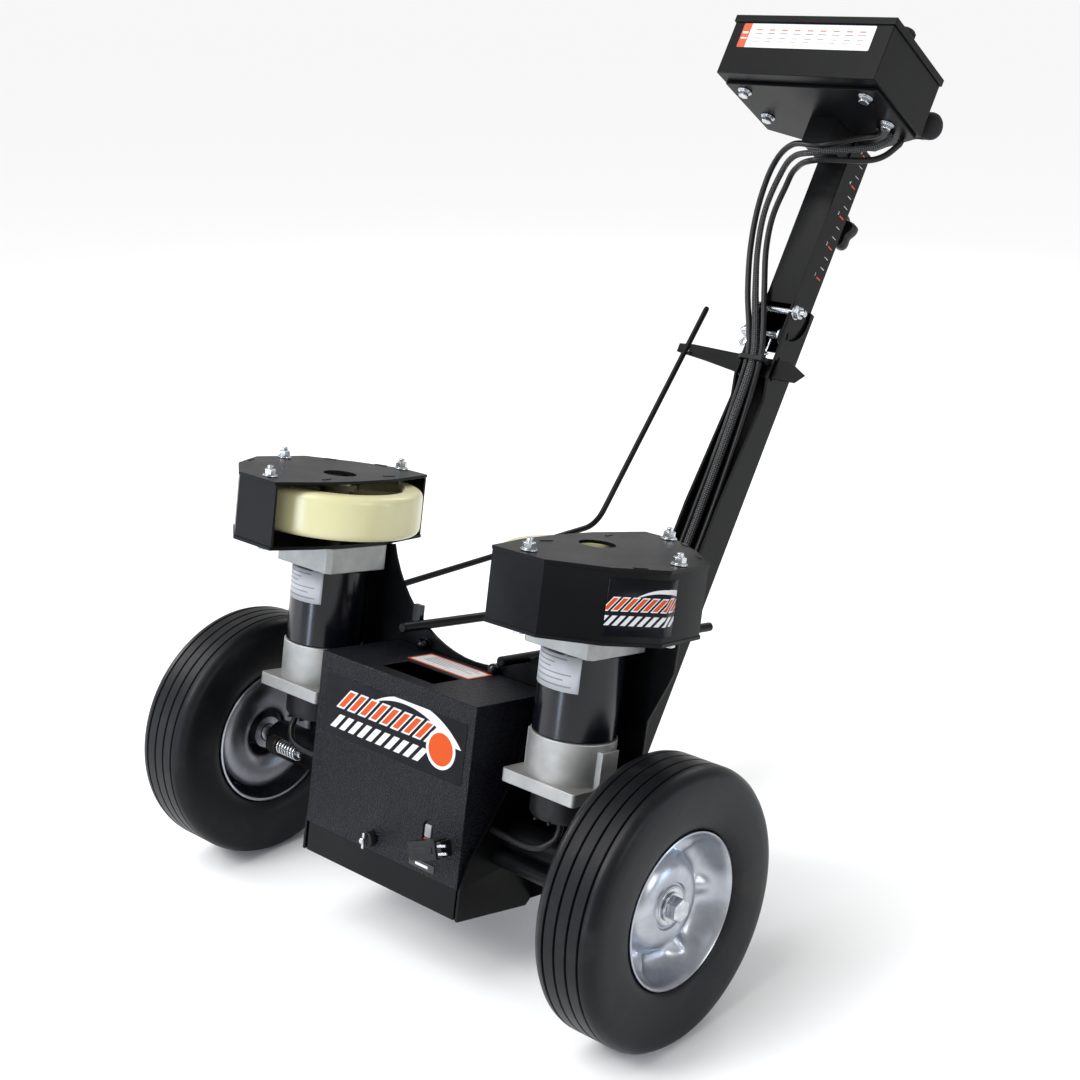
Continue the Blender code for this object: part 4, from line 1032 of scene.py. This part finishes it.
class BALL_OT_battery_box(bpy.types.Operator):
    """Textured battery cover, tray, latch, connector and their prints"""

    bl_idname = "ball.battery_box"
    bl_label = "Battery box"

    def execute(self, context):
        edged("battery_cover", FINISHES["wrinkle"], 0.9 * MM)
        edged("battery_tray", FINISHES["coat"], 0.7 * MM)
        edged("battery", FINISHES["plastic"], 0.8 * MM)
        on_front = (COVER_FRONT - 0.0003, COVER_FRONT - 0.0001)
        sheet = upright(0.184, 0.0575, 0.002, (0.001, 0.0890), *on_front)
        piece("cover_print", [sheet], FINISHES["cover_print"], "cover", HEAD, flat_uv=(0, 2))
        orange = tuple(context.scene.ball_paint.print_orange)
        grey = (0.26, 0.22, 0.22)
        rows = [(-0.036, -0.036 + run, y, y + 0.0016, grey)
                for run, y in ((0.058, 0.0125), (0.062, 0.0085), (0.050, 0.0045), (0.060, 0.0005),
                               (0.034, -0.0035))]
        top = paper_label("top_label", grey, (0.62, 0.62, 0.63), rows=rows,
                          edge=((-0.0435, 0.0325, -0.0125, 0.0155), orange))
        notice = plate(rounded(0.081, 0.033, 0.0015, (-0.0055, 0.0015)), COVER_TOP,
                       COVER_TOP + PRINT_THICKNESS)
        piece("top_notice", [notice], top, "cover", HEAD, flat_uv=(0, 1))
        dark = paper_label("small_label", grey, (0.018, 0.018, 0.020),
                           rows=[(0.048, 0.064, -0.0268, -0.0242, (0.55, 0.56, 0.57))])
        small = upright(0.032, 0.0075, 0.0012, (0.056, -0.0255), *on_front)
        piece("small_marker", [small], dark, "cover", HEAD, flat_uv=(0, 2))
        self.latch()
        self.connector()
        return {"FINISHED"}

    def latch(self):
        """Round thumb screw with a knurled rim and a raised bar to turn it by."""
        at = (-0.010, COVER_FRONT, -0.022)
        knob = [(0, -0.0085), (0.0058, -0.0085), (0.0070, -0.0078), (0.0075, -0.0065),
                (0.0075, -0.0020), (0.0060, -0.0006),
                (0.0026, -0.0003), (0.0026, 0.0060), (0, 0.0060)]
        piece("latch_thumb_screw", [revolved(knob, 40, "Y", False, at)], FINISHES["plastic"], "latch",
              HEAD,
              ("latch_knob",), edge=0.0003)
        tip = [(0, -0.0150), (0.0020, -0.0150), (0.0030, -0.0140), (0.0030, -0.0086), (0, -0.0086)]
        bar = plate(rounded(0.0155, 0.0026, 0.0010), -0.0122, -0.0098, "Y", at)
        piece("latch_tip", [revolved(tip, 28, "Y", False, at), bar], FINISHES["zinc"], "latch", HEAD,
              edge=0.0003)

    def connector(self):
        """Two-pole housing, pale above and red below, with a black plug turned up on it."""
        front = COVER_FRONT
        depth = (front + 0.0002, front + 0.0085)
        pale = upright(0.0078, 0.0120, 0.0014, (0.0588, 0.0078), *depth)
        red = upright(0.0084, 0.0110, 0.0014, (0.0586, -0.0045), *depth)
        flange = block((0.049, front + 0.0020, -0.018), (0.069, front + 0.0058, 0.022))
        piece("socket_pale", [pale], FINISHES["clear"], "cover", HEAD, edge=0.0004)
        piece("socket_red", [red], FINISHES["red"], "cover", HEAD, ("charge_connector",), edge=0.0004)
        piece("socket_flange", [flange], FINISHES["plastic"], "cover", HEAD, edge=0.0004)
        housing = [((0, -0.009, -0.0085), (0.034, 0.0065, 0.0085)),
                   ((0.034, -0.0078, -0.0072), (0.0405, 0.0055, 0.0072)),
                   ((0.004, -0.0098, -0.0030), (0.030, -0.0085, 0.0030))]
        contacts = [((0.036, -0.0083, shift - 0.0012), (0.0465, -0.0060, shift + 0.0012))
                    for shift in (-0.0035, 0.0035)]
        piece("plug_housing", self.turned_up(housing), FINISHES["plastic"], "cover", HEAD, edge=0.0008)
        piece("plug_contacts", self.turned_up(contacts), FINISHES["zinc"], "cover", HEAD, edge=0.0003)

    def turned_up(self, corners):
        """Boxes laid along the plug, which is turned up by 20 degrees in the plane of the front."""
        c, s = math.cos(math.radians(20)), math.sin(math.radians(20))
        turn = np.array(((c, 0, s), (0, 1, 0), (-s, 0, c)))
        boxes = [block(low, high) for low, high in corners]
        return [(points @ turn + (0.0605, COVER_FRONT - 0.0145, -0.006), faces) for points,
                faces in boxes]


class BALL_OT_chassis(bpy.types.Operator):
    """Plates, rails, guide rod, mast channel, foot and small hardware"""

    bl_idname = "ball.chassis"
    bl_label = "Chassis"

    def execute(self, context):
        for node, width in (("side_plate_left", 0.5), ("side_plate_right", 0.5), ("yoke_plate", 0.5),
                            ("mast_bracket", 0.4)):
            edged(node, FINISHES["coat"], width * MM)
        edged("mast_channel", FINISHES["coat"], 0.6 * MM)
        edged("rear_foot", FINISHES["rubber"], 0.8 * MM)
        self.rails()
        self.guide_rod()
        self.plunger()
        self.cradle_bolts()
        return {"FINISHED"}

    def rails(self):
        """Two straight rods with chamfered ends, either side of the ball's path."""
        for tag, side in SIDES:
            rail = [(0, -0.0075), (0.0040, -0.0075), (0.00475, -0.0065), (0.00475, 0.3170),
                    (0.0040, 0.3180), (0, 0.3180)]
            shape = revolved(rail, 32, "Y", False, (side * 0.0645, 0, 0.160))
            piece(f"ball_rail_{tag}_bar", [shape], FINISHES["coat"], "chassis", HEAD,
                  (f"ball_rail_{tag}",))

    def guide_rod(self):
        """Bent rod: straight, a quadratic bend, straight again, with a cross pin near its top."""
        x = -0.100
        start = to_world(((x, 0.0243, 0.1927),), HEAD)[0]
        bend = np.array((x, AXLE_Y + 0.349, AXLE_HEIGHT + 0.178))
        top = np.array((x, AXLE_Y + 0.5415, AXLE_HEIGHT + 0.393))
        before = bend + (start - bend) / np.linalg.norm(start - bend) * 0.020
        after = bend + (top - bend) / np.linalg.norm(top - bend) * 0.020
        t = np.linspace(0, 1, 16)[:, None]
        curve = before * (1 - t) ** 2 + bend * (2 * t * (1 - t)) + after * t**2
        path = np.vstack((start, start + (before - start) * 0.5, curve, top - (top - after) * 0.01,
                          top))
        width = np.full(len(path), 0.00315)
        width[-1] = 0.0024
        tube("guide_rod_bent", path, width, FINISHES["coat"], "chassis", 20, ("guide_rod",))
        pin = bend + (top - bend) * 0.79
        shape = revolved(ring(0, 0.0013, -0.009, 0.009), 16, "X", False, tuple(pin))
        piece("guide_rod_pin", [shape], FINISHES["coat"], "chassis")

    def plunger(self):
        """Spring plunger: collar, open coil and stem, along the -X axle stub."""
        centre = np.array((0, -0.0285, 0.005))
        collar = [(0, -0.212), (0.0080, -0.212), (0.0085, -0.2112), (0.0085, -0.200), (0.0078, -0.199),
                  (0, -0.199)]
        stem = [(0, -0.199), (0.0035, -0.199), (0.0035, -0.1672), (0.0028, -0.1662), (0, -0.1662)]
        turns, rise = 7, 0.0285
        t = np.linspace(0, 1, 220)
        angle = t * math.tau * turns
        coil = np.column_stack((-0.1985 + t * rise, 0.0062 * np.cos(angle),
                                0.0062 * np.sin(angle))) + centre
        sleeve = revolved(collar, 36, "X", False, tuple(centre))
        piece("plunger_collar", [sleeve], FINISHES["plastic"], "chassis", HEAD, ("lock_plunger",),
              edge=0.0003)
        piece("plunger_stem", [revolved(stem, 24, "X", False, tuple(centre))], FINISHES["zinc"],
              "chassis", HEAD)
        tube("plunger_spring", to_world(coil, HEAD), 0.0010, FINISHES["zinc"], "chassis", 10)

    def cradle_bolts(self):
        """Black ball-headed bolts either side of the cradle, and a short stub beside it."""
        shapes = []
        radius = 0.0056
        t = np.linspace(0.3, math.pi, 12)[:, None]
        ball = np.hstack((radius * np.sin(t), -0.0060 + radius * np.cos(t)))[::-1]
        for x, z in ((-0.064, 0.1405), (0.031, 0.1405), (-0.130, 0.120), (0.130, 0.120)):
            neck = [(0.0030, -0.0008), (0.0052, -0.0006), (0.0052, 0.0), (0, 0.0)]
            shapes.append(revolved(np.vstack((ball, neck)), 28, "Y", False, (x, 0.0282, z)))
            back = [(0, 0.0), (0.0050, 0.0), (0.0050, 0.0040), (0.0028, 0.0042), (0.0028, 0.0070),
                    (0, 0.0070)]
            shapes.append(revolved(back, 6, "Y", False, (x, 0.0313, z)))
        shapes.append(block((-0.0820, 0.0225, 0.1600), (-0.0715, 0.0282, 0.1770)))
        piece("yoke_bolts", shapes, FINISHES["enamel"], "chassis", HEAD, edge=0.0005)


CABLE_ROUTES = {
    "left": [(0.060, -0.046, 0.1432), (0.060, -0.046, 0.1362), (0.050, -0.058, 0.126),
             (0.016, -0.073, 0.106),
             (-0.028, -0.062, 0.110), (-0.058, -0.042, 0.095), (-0.066, -0.031, 0.052),
             (-0.058, -0.027, 0.000),
             (-0.040, -0.026, -0.053), (-0.018, -0.028, -0.098), (-0.0085, -0.0245, -0.131),
             (-0.0125, -0.012, -0.200),
             (-0.014, -0.009, -0.300), (-0.014, -0.008, -0.420), (-0.0095, -0.008, -0.532)],
    "middle": [(0.070, -0.036, 0.1432), (0.070, -0.036, 0.1362), (0.056, -0.048, 0.119),
               (0.016, -0.074, 0.097),
               (-0.026, -0.056, 0.098), (-0.048, -0.038, 0.080), (-0.055, -0.030, 0.041),
               (-0.047, -0.027, -0.004),
               (-0.030, -0.026, -0.052), (-0.010, -0.027, -0.098), (0.0, -0.0255, -0.133),
               (-0.0035, -0.016, -0.200),
               (-0.0045, -0.011, -0.300), (-0.0045, -0.010, -0.420), (-0.0010, -0.010, -0.530)],
    "right": [(0.078, -0.026, 0.1432), (0.078, -0.026, 0.1362), (0.061, -0.036, 0.112),
              (0.016, -0.073, 0.088),
              (-0.020, -0.052, 0.086), (-0.036, -0.036, 0.070), (-0.042, -0.030, 0.036),
              (-0.036, -0.027, -0.003),
              (-0.019, -0.026, -0.050), (0.0010, -0.028, -0.098), (0.0083, -0.0245, -0.131),
              (0.0060, -0.011, -0.200),
              (0.0070, -0.006, -0.300), (0.0070, -0.006, -0.420), (0.0078, -0.006, -0.534)],
}


class BALL_OT_cables(bpy.types.Operator):
    """Control leads in a slack bow over the fold, and the tie that holds them"""

    bl_idname = "ball.cables"
    bl_label = "Cables"

    def execute(self, context):
        for tag, route in CABLE_ROUTES.items():
            path = to_world(smooth_path(route, CABLE_RINGS), MAST)
            look, radius = FINISHES["jacket"], CABLE_RADIUS
            if tag == "middle":
                look = FINISHES["braid"]
                widths = (CABLE_RADIUS, CABLE_RADIUS, SLEEVE_RADIUS, SLEEVE_RADIUS)
                radius = np.interp(np.arange(CABLE_RINGS), (0, 90, 120, CABLE_RINGS), widths)
            obj = tube(f"cable_{tag}_run", path, radius, look, None, 20, (f"cable_{tag}",))
            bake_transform(obj)
        edged("zip_tie", FINISHES["plastic"], 0.3 * MM)
        return {"FINISHED"}


class BALL_OT_mast(bpy.types.Operator):
    """Folding tube with its scale, bolts, knob and pull handle"""

    bl_idname = "ball.mast"
    bl_label = "Folding mast"

    def execute(self, context):
        edged("mast_tube", FINISHES["coat"], 0.9 * MM)
        self.scale()
        self.bolts()
        self.star_knob()
        self.handle()
        return {"FINISHED"}

    def scale(self):
        """Painted ticks and small plain numbers up the +X face of the tube."""
        ticks = {"orange": [], "white": []}
        top, step, marks = 0.136, 0.0376, 5
        for index in range(marks):
            a = top - step * index
            ticks["orange"].append(self.tick(0.0035, 0.0125, a, 0.0008))
            for part in (1, 2):
                if index < marks - 1:
                    ticks["white"].append(self.tick(0.0045, 0.0125, a - step * part / 3, 0.00032))
        for key, shapes in ticks.items():
            piece(f"scale_{key}", shapes, FINISHES[f"{key}_mark"], "mast_upper", MAST)
        for index in range(marks):
            self.number(str(marks - index), -0.0005, top + 0.0015 - step * index)

    def tick(self, low, high, a, half):
        """A painted line across part of the face, at a height."""
        return block((TUBE_FACE + 0.00005, low, a - half), (TUBE_FACE + 0.00020, high, a + half))

    def number(self, text, n, a):
        """A figure 5 mm high, laid on the face with its foot towards the rear."""
        curve = bpy.data.curves.new("figure", "FONT")
        curve.body = text
        curve.size = 0.0058
        curve.extrude = 0.00006
        curve.align_x = "CENTER"
        curve.align_y = "CENTER"
        maker = bpy.data.objects.new("figure", curve)
        bpy.context.scene.collection.objects.link(maker)
        bpy.context.view_layer.update()
        shape = maker.evaluated_get(bpy.context.evaluated_depsgraph_get()).to_mesh()
        points = np.empty(len(shape.vertices) * 3)
        shape.vertices.foreach_get("co", points)
        points = points.reshape(-1, 3)
        faces = [list(polygon.vertices) for polygon in shape.polygons]
        bpy.data.objects.remove(maker)
        local = np.column_stack((TUBE_FACE + 0.00012 + points[:, 2], n + points[:, 0],
                                 a + points[:, 1]))
        piece(f"scale_number_{text}", [(local, faces)], FINISHES["white_mark"], "mast_upper", MAST)

    def bolts(self):
        """Nutted pivot bolt, carriage bolt with a wing nut, and the hair pin."""
        side = CHANNEL_FACE
        at = (0, -0.015, -0.066)
        core = [(0, -side - 0.001), (0.0037, -side - 0.001), (0.0037, side + 0.0125),
                (0.0031, side + 0.0132), (0, side + 0.0132)]
        washer = ring(0.0037, 0.0078, side, side + 0.0014)
        shapes = [revolved(core, 28, "X", False, at), revolved(washer, 36, "X", True, at)]
        shapes.append(hexagon(0.0074, side + 0.0014, side + 0.0072, "X", at, 0.3))
        shapes.append(placed(hexagon(0.0066, side, side + 0.0042, "X"), (-1, 1, 1), at))
        piece("pivot_bolt_set", shapes, FINISHES["zinc"], "chassis", MAST, ("pivot_bolt",), edge=0.0003)
        at = (0, -0.010, -0.093)
        profile = [(0, -0.0405), (0.0031, -0.0405), (0.0037, -0.0398), (0.0037, 0.0112),
                   (0.0080, 0.0118), (0.0078, 0.0128),
                   (0.0060, 0.0145), (0.0032, 0.0158), (0, 0.0162)]
        piece("lock_bolt_turned", [revolved(profile, 36, "X", False, at)], FINISHES["zinc"],
              "mast_upper", MAST, ("lock_bolt",))
        hub = [(0.0041, -side - 0.0120), (0.0072, -side - 0.0120), (0.0080, -side - 0.0105),
               (0.0092, -side - 0.0010),
               (0.0088, -side), (0.0041, -side)]
        shapes = [revolved(hub, 36, "X", True, at)]
        for turn in (1, -1):
            t = np.linspace(0, 1, 14)
            path = np.column_stack((-side - 0.004 - 0.009 * t**1.4, np.zeros(14),
                                    turn * (0.006 + 0.0105 * t)))
            shapes.append(self.leaf(path + at, 0.0026 + 0.0016 * np.sin(t * math.pi) + 0.0006 * t))
        piece("wing_nut_cast", shapes, FINISHES["zinc"], "wing_nut", MAST, ("wing_nut",))
        self.hair_pin()

    def hair_pin(self):
        """Bent wire clip: a leg, a round loop of three quarters of a turn, and a second leg."""
        depth, radius = -0.0252, 0.0032
        t = np.linspace(0, 1.5 * math.pi, 20)
        loop = np.column_stack((0.0085 + radius * np.cos(t), np.full(20, depth),
                                -0.1190 + radius * np.sin(t)))
        legs = ((0.0117, depth, -0.1040), (0.0117, depth, -0.1130))
        path = np.vstack((legs, loop, ((0.0130, depth, -0.1222), (0.0158, depth, -0.1205))))
        tube("mast_hair_pin", to_world(path, MAST), 0.0009, FINISHES["zinc"], "chassis", 10)

    def leaf(self, path, width):
        """One wing: a round section along a path, pressed flat about the path's own depth."""
        flat, middle = 0.42, path[0][1]
        return placed(swept(path, width, 20), (1, flat, 1), (0, middle * (1 - flat), 0))

    def star_knob(self):
        """Five-lobed knob: radius 20.4 mm plus 3 mm times the cosine of five times the angle, domed."""
        at = (0, 0, 0.057)
        rows = np.array(((0, 0.0492), (0.35, 0.0490), (0.70, 0.0480), (0.90, 0.0462), (1.0, 0.0430),
                         (1.0, 0.0350), (0.93, 0.0320),
                         (0.50, 0.0312), (0, 0.0312)))
        angle = np.linspace(0, math.tau, 120, endpoint=False)
        lobe = 0.0204 + 0.0030 * np.cos(5 * angle)
        radius = rows[:, :1] * lobe[None, :]
        height = np.repeat(rows[:, 1:], len(angle), 1)
        points = np.stack((radius * np.cos(angle), radius * np.sin(angle), height), -1).reshape(-1, 3)
        knob = points[:, AXES["Y"]] + at, grid_faces(len(rows), len(angle)).tolist()
        neck = [(0.0037, 0.0285), (0.0100, 0.0292), (0.0105, 0.0320), (0.0037, 0.0320)]
        stud = ring(0, 0.0037, 0.0155, 0.0330)
        piece("star_knob_lobed", [knob, revolved(neck, 48, "Y", True, at)], FINISHES["plastic"],
              "star_knob", MAST,
              ("star_knob",), smooth=50)
        piece("star_knob_stud", [revolved(stud, 24, "Y", False, at)], FINISHES["zinc"], "star_knob",
              MAST)

    def handle(self):
        """Round stem and a foam grip across its top, with domed ends."""
        stem = [(0, -0.050), (0.0115, -0.050), (0.0125, -0.049), (0.0125, 0.168), (0, 0.168)]
        piece("pull_stem", [revolved(stem, 64, "Z", False)], FINISHES["coat"], "handle", MAST,
              ("handle_stem",))
        radius, end, inset = 0.0150, 0.101, 0.012
        a = np.linspace(0, math.pi / 2, 10)
        left = np.column_stack((radius * np.sin(a), -end + inset - inset * np.cos(a)))
        wave = 0.0001 * np.cos(np.linspace(0, math.tau * 20, 160))
        body = np.column_stack((radius + wave, np.linspace(-end + inset, end - inset, 160)))
        right = np.column_stack((radius * np.sin(a[::-1]), end - inset + inset * np.cos(a[::-1])))
        grip = revolved(np.vstack((left, body[1:-1], right)), 64, "X", False, (0, 0.0045, 0.1775))
        collar = revolved([(0.0125, 0.1600), (0.0150, 0.1600), (0.0155, 0.1620), (0.0155, 0.1660),
                           (0.0125, 0.1660)], 48, "Z", True)
        piece("pull_grip", [grip], FINISHES["foam"], "handle", MAST, ("handle_grip",), smooth=40)
        piece("pull_collar", [collar], FINISHES["plastic"], "handle", MAST, edge=0.0003)


class BALL_OT_control_box(bpy.types.Operator):
    """Sheet case, lipped panel, dials, switch, label and mounting bolts"""

    bl_idname = "ball.control_box"
    bl_label = "Control box"

    def execute(self, context):
        edged("box_plate", FINISHES["coat"], 0.5 * MM)
        edged("control_case", FINISHES["coat"], 0.8 * MM)
        edged("control_panel", FINISHES["coat"], 0.8 * MM)
        self.face_label(tuple(context.scene.ball_paint.print_orange))
        self.bolts()
        self.panel_top()
        return {"FINISHED"}

    def face_label(self, orange):
        """Long pale chart on the front wall, with an orange block and plain ticks in columns."""
        dark, tint = (0.12, 0.12, 0.14), (0.55, 0.12, 0.04)
        rows = []
        for column in range(9):
            u = -0.068 + column * 0.0163
            rows.append((u, u + 0.0075, 0.2002, 0.2018, tint))
            rows.append((u - 0.001, u + 0.0090, 0.1962, 0.1972, dark))
            rows.append((u, u + 0.0080, 0.1905, 0.1913, dark))
            rows.append((u, u + 0.0065, 0.1865, 0.1873, tint))
        rows.append((-0.0855, -0.0785, 0.1965, 0.1985, (0.9, 0.9, 0.9)))
        rows.append((-0.0855, -0.0780, 0.1900, 0.1915, (0.9, 0.9, 0.9)))
        label = paper_label("chart_label", orange, (0.64, 0.65, 0.66), band=(-0.09, -0.0765), rows=rows)
        sheet = upright(0.167, 0.0290, 0.0015, (-0.0035, 0.1940), BOX_FRONT - 0.0002, BOX_FRONT)
        piece("chart", [sheet], label, "mast_upper", MAST, flat_uv=(0, 2))

    def bolts(self):
        """Four hexagon bolts with washers under the mounting plate."""
        shapes = []
        for index, (x, n) in enumerate(((-0.077, -0.114), (0.077, -0.114), (-0.077, -0.059),
                                        (0.077, -0.059))):
            for radius, deep in ((0.0080, 0.0014), (0.0068, 0.0026)):
                washer = ring(0.003, radius, BOX_UNDER, BOX_UNDER - deep)
                shapes.append(revolved(washer, 40, "Z", True, (x, n, 0)))
            head = hexagon(0.0058, -BOX_UNDER + 0.0024, -BOX_UNDER + 0.0072, turn=0.4 * index)
            shapes.append(placed(head, (1, 1, -1), (x, n, 0)))
        piece("box_bolts", shapes, FINISHES["zinc"], "mast_upper", MAST, edge=0.0003)

    def panel_top(self):
        """Two pointer dials with ticked plates, and a rocker in its bezel."""
        face, n, flute_count = BOX_TOP, -0.094, 16
        for tag, side in SIDES:
            at = (side * 0.082, n, face)
            knob = [(0, -0.012), (0.003, -0.012), (0.003, 0.0003), (0.0112, 0.0003), (0.0115, 0.0008),
                    (0.0115, 0.0030),
                    (0.0104, 0.0040), (0.0097, 0.0145), (0.0088, 0.0160), (0, 0.0160)]
            flutes = [revolved(knob, 72, "Z", False, at)]
            for turn in range(flute_count):
                angle = turn * math.tau / flute_count
                c, s = math.cos(angle), math.sin(angle)
                flutes.append(revolved([(0, 0.0042), (0.0008, 0.0042), (0.0008, 0.0140), (0, 0.0146)],
                                       8, "Z", False,
                                       (at[0] + 0.0100 * c, at[1] + 0.0100 * s, face)))
            piece(f"speed_dial_{tag}_knob", flutes, FINISHES["plastic"], f"dial_{tag}", MAST,
                  (f"speed_dial_{tag}",), edge=0.0002)
            pointer = block((at[0] - 0.0006, at[1] - 0.0085, face + 0.0159),
                            (at[0] + 0.0006, at[1] - 0.0015, face + 0.0162))
            piece(f"dial_pointer_{tag}", [pointer], FINISHES["white_mark"], f"dial_{tag}", MAST)
            ticks = []
            for index in range(11):
                angle = math.radians(-90 + 30 * (index - 5) * 0.9 + 180)
                c, s = math.cos(angle), math.sin(angle)
                near, far, half = 0.0135, 0.0170 if index % 5 else 0.0185, 0.0004
                outline = np.array(((near, -half), (far, -half), (far, half), (near, half)))
                ticks.append(plate(outline @ np.array(((c, s), (-s, c))), 0.00005, 0.0002, "Z", at))
            piece(f"dial_ticks_{tag}", ticks, FINISHES["white_mark"], "mast_upper", MAST)
        strips = ((-0.0125, -0.0085, 0.0125, -0.0065), (-0.0125, 0.0065, 0.0125, 0.0085),
                  (-0.0125, -0.0065, -0.0105, 0.0065), (0.0105, -0.0065, 0.0125, 0.0065))
        bezel = [block((x0, n + n0, face), (x1, n + n1, face + 0.0012)) for x0, n0, x1, n1 in strips]
        piece("switch_bezel", bezel, FINISHES["plastic"], "mast_upper", MAST)
        edged("power_switch", FINISHES["red"], 0.4 * MM)


COOL = (0.66, 0.80, 1.0)
LAMPS = (
    ("key", (-0.6, -2.6, 2.2), 1.0, 38),
    ("strip", (-0.15, -3.0, 0.45), 0.30, 20, COOL, 1.1),
    ("strip_right", (2.5, 1.2, 0.45), 0.25, 9, COOL, 1.1),
    ("panel", (-2.0, -2.3, 0.55), 1.0, 9, COOL, 1.0),
    ("right", (3.0, -0.2, 1.5), 1.2, 18),
    ("left", (-2.8, -0.6, 1.4), 0.9, 26),
    ("back", (-0.4, 2.8, 2.4), 1.4, 22),
)


class BALL_OT_stage(bpy.types.Operator):
    """Floor, soft lights and the camera"""

    bl_idname = "ball.stage"
    bl_label = "Stage"

    def execute(self, context):
        settings = context.scene.ball_stage
        target = Vector((0.132, AXLE_Y, 0.422))
        a, e = settings.azimuth, settings.elevation
        back = Vector((math.sin(a) * math.cos(e), -math.cos(a) * math.cos(e), math.sin(e)))
        data = bpy.data.cameras.new("camera")
        data.lens = settings.lens
        data.sensor_width = 36
        camera = bpy.data.objects.new("camera", data)
        camera.location = target + back * settings.distance
        camera.rotation_euler = back.to_track_quat("Z", "Y").to_euler()
        context.scene.collection.objects.link(camera)
        context.scene.camera = camera
        context.scene.view_settings.view_transform = "Standard"
        self.floor()
        for lamp in LAMPS:
            self.light(*lamp)
        sun = bpy.data.lights.new("sun", "SUN")
        sun.energy = 1.9
        sun.angle = math.radians(40)
        lamp = bpy.data.objects.new("sun", sun)
        lamp.rotation_euler = (math.radians(28), math.radians(-14), 0)
        context.scene.collection.objects.link(lamp)
        world = bpy.data.worlds.new("studio")
        context.scene.world = world
        world.use_nodes = True
        background = world.node_tree.nodes["Background"]
        background.inputs["Color"].default_value = (1, 1, 1, 1)
        background.inputs["Strength"].default_value = 0.52
        return {"FINISHED"}

    def floor(self):
        """A wide pale slab with its top at height zero."""
        reach = 150
        points, faces = block((-reach, -reach, -0.02), (reach, reach, 0))
        mesh = bpy.data.meshes.new("floor")
        mesh.from_pydata(points.tolist(), [], faces)
        obj = shown("floor", mesh)
        pale = Finish("floor_paper", (0.90, 0.90, 0.90), 0.85, shine=0.0)
        mesh.materials.append(pale.material)

    def light(self, name, place, size, power, colour=(1, 1, 1), tall=None):
        """An area lamp turned to the middle of the machine: a disc, or a rectangle where tall is given."""
        data = bpy.data.lights.new(name, "AREA")
        data.shape = "RECTANGLE" if tall else "DISK"
        data.size = size
        if tall:
            data.size_y = tall
        data.color = colour
        data.energy = power
        obj = shown(name, data)
        obj.location = place
        aim = Vector(place) - Vector((0, 0, 0.35))
        obj.rotation_euler = aim.to_track_quat("Z", "Y").to_euler()


OPERATORS = (
    BALL_OT_stage,
    BALL_OT_cables,
    BALL_OT_ground_wheels,
    BALL_OT_throwing_wheels,
    BALL_OT_motors,
    BALL_OT_guards,
    BALL_OT_battery_box,
    BALL_OT_chassis,
    BALL_OT_mast,
    BALL_OT_control_box,
)


class BALL_PT_panel(bpy.types.Panel):
    """Lists the pieces of the machine in the sidebar"""

    bl_label = "Ball machine"
    bl_idname = "BALL_PT_panel"
    bl_space_type = "VIEW_3D"
    bl_region_type = "UI"
    bl_category = "Ball machine"

    def draw(self, context):
        for group in (context.scene.ball_wheels, context.scene.ball_paint, context.scene.ball_stage):
            box = self.layout.box()
            for key in group.bl_rna.properties.keys():
                if key not in ("rna_type", "name"):
                    box.prop(group, key)
        for operator in OPERATORS:
            self.layout.operator(operator.bl_idname)


GROUPS = {"ball_wheels": BALL_PG_wheels, "ball_paint": BALL_PG_paint, "ball_stage": BALL_PG_stage}


def register():
    for cls in (*GROUPS.values(), *OPERATORS, BALL_PT_panel):
        bpy.utils.register_class(cls)
    for name, cls in GROUPS.items():
        setattr(bpy.types.Scene, name, PointerProperty(type=cls))


def unregister():
    for name in GROUPS:
        delattr(bpy.types.Scene, name)
    for cls in reversed((*GROUPS.values(), *OPERATORS, BALL_PT_panel)):
        bpy.utils.unregister_class(cls)


def main():
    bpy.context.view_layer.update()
    register()
    mix_finishes(bpy.context.scene.ball_paint)
    for operator in OPERATORS:
        getattr(bpy.ops.ball, operator.bl_idname.split(".")[1])()


if __name__ == "__main__":
    main()
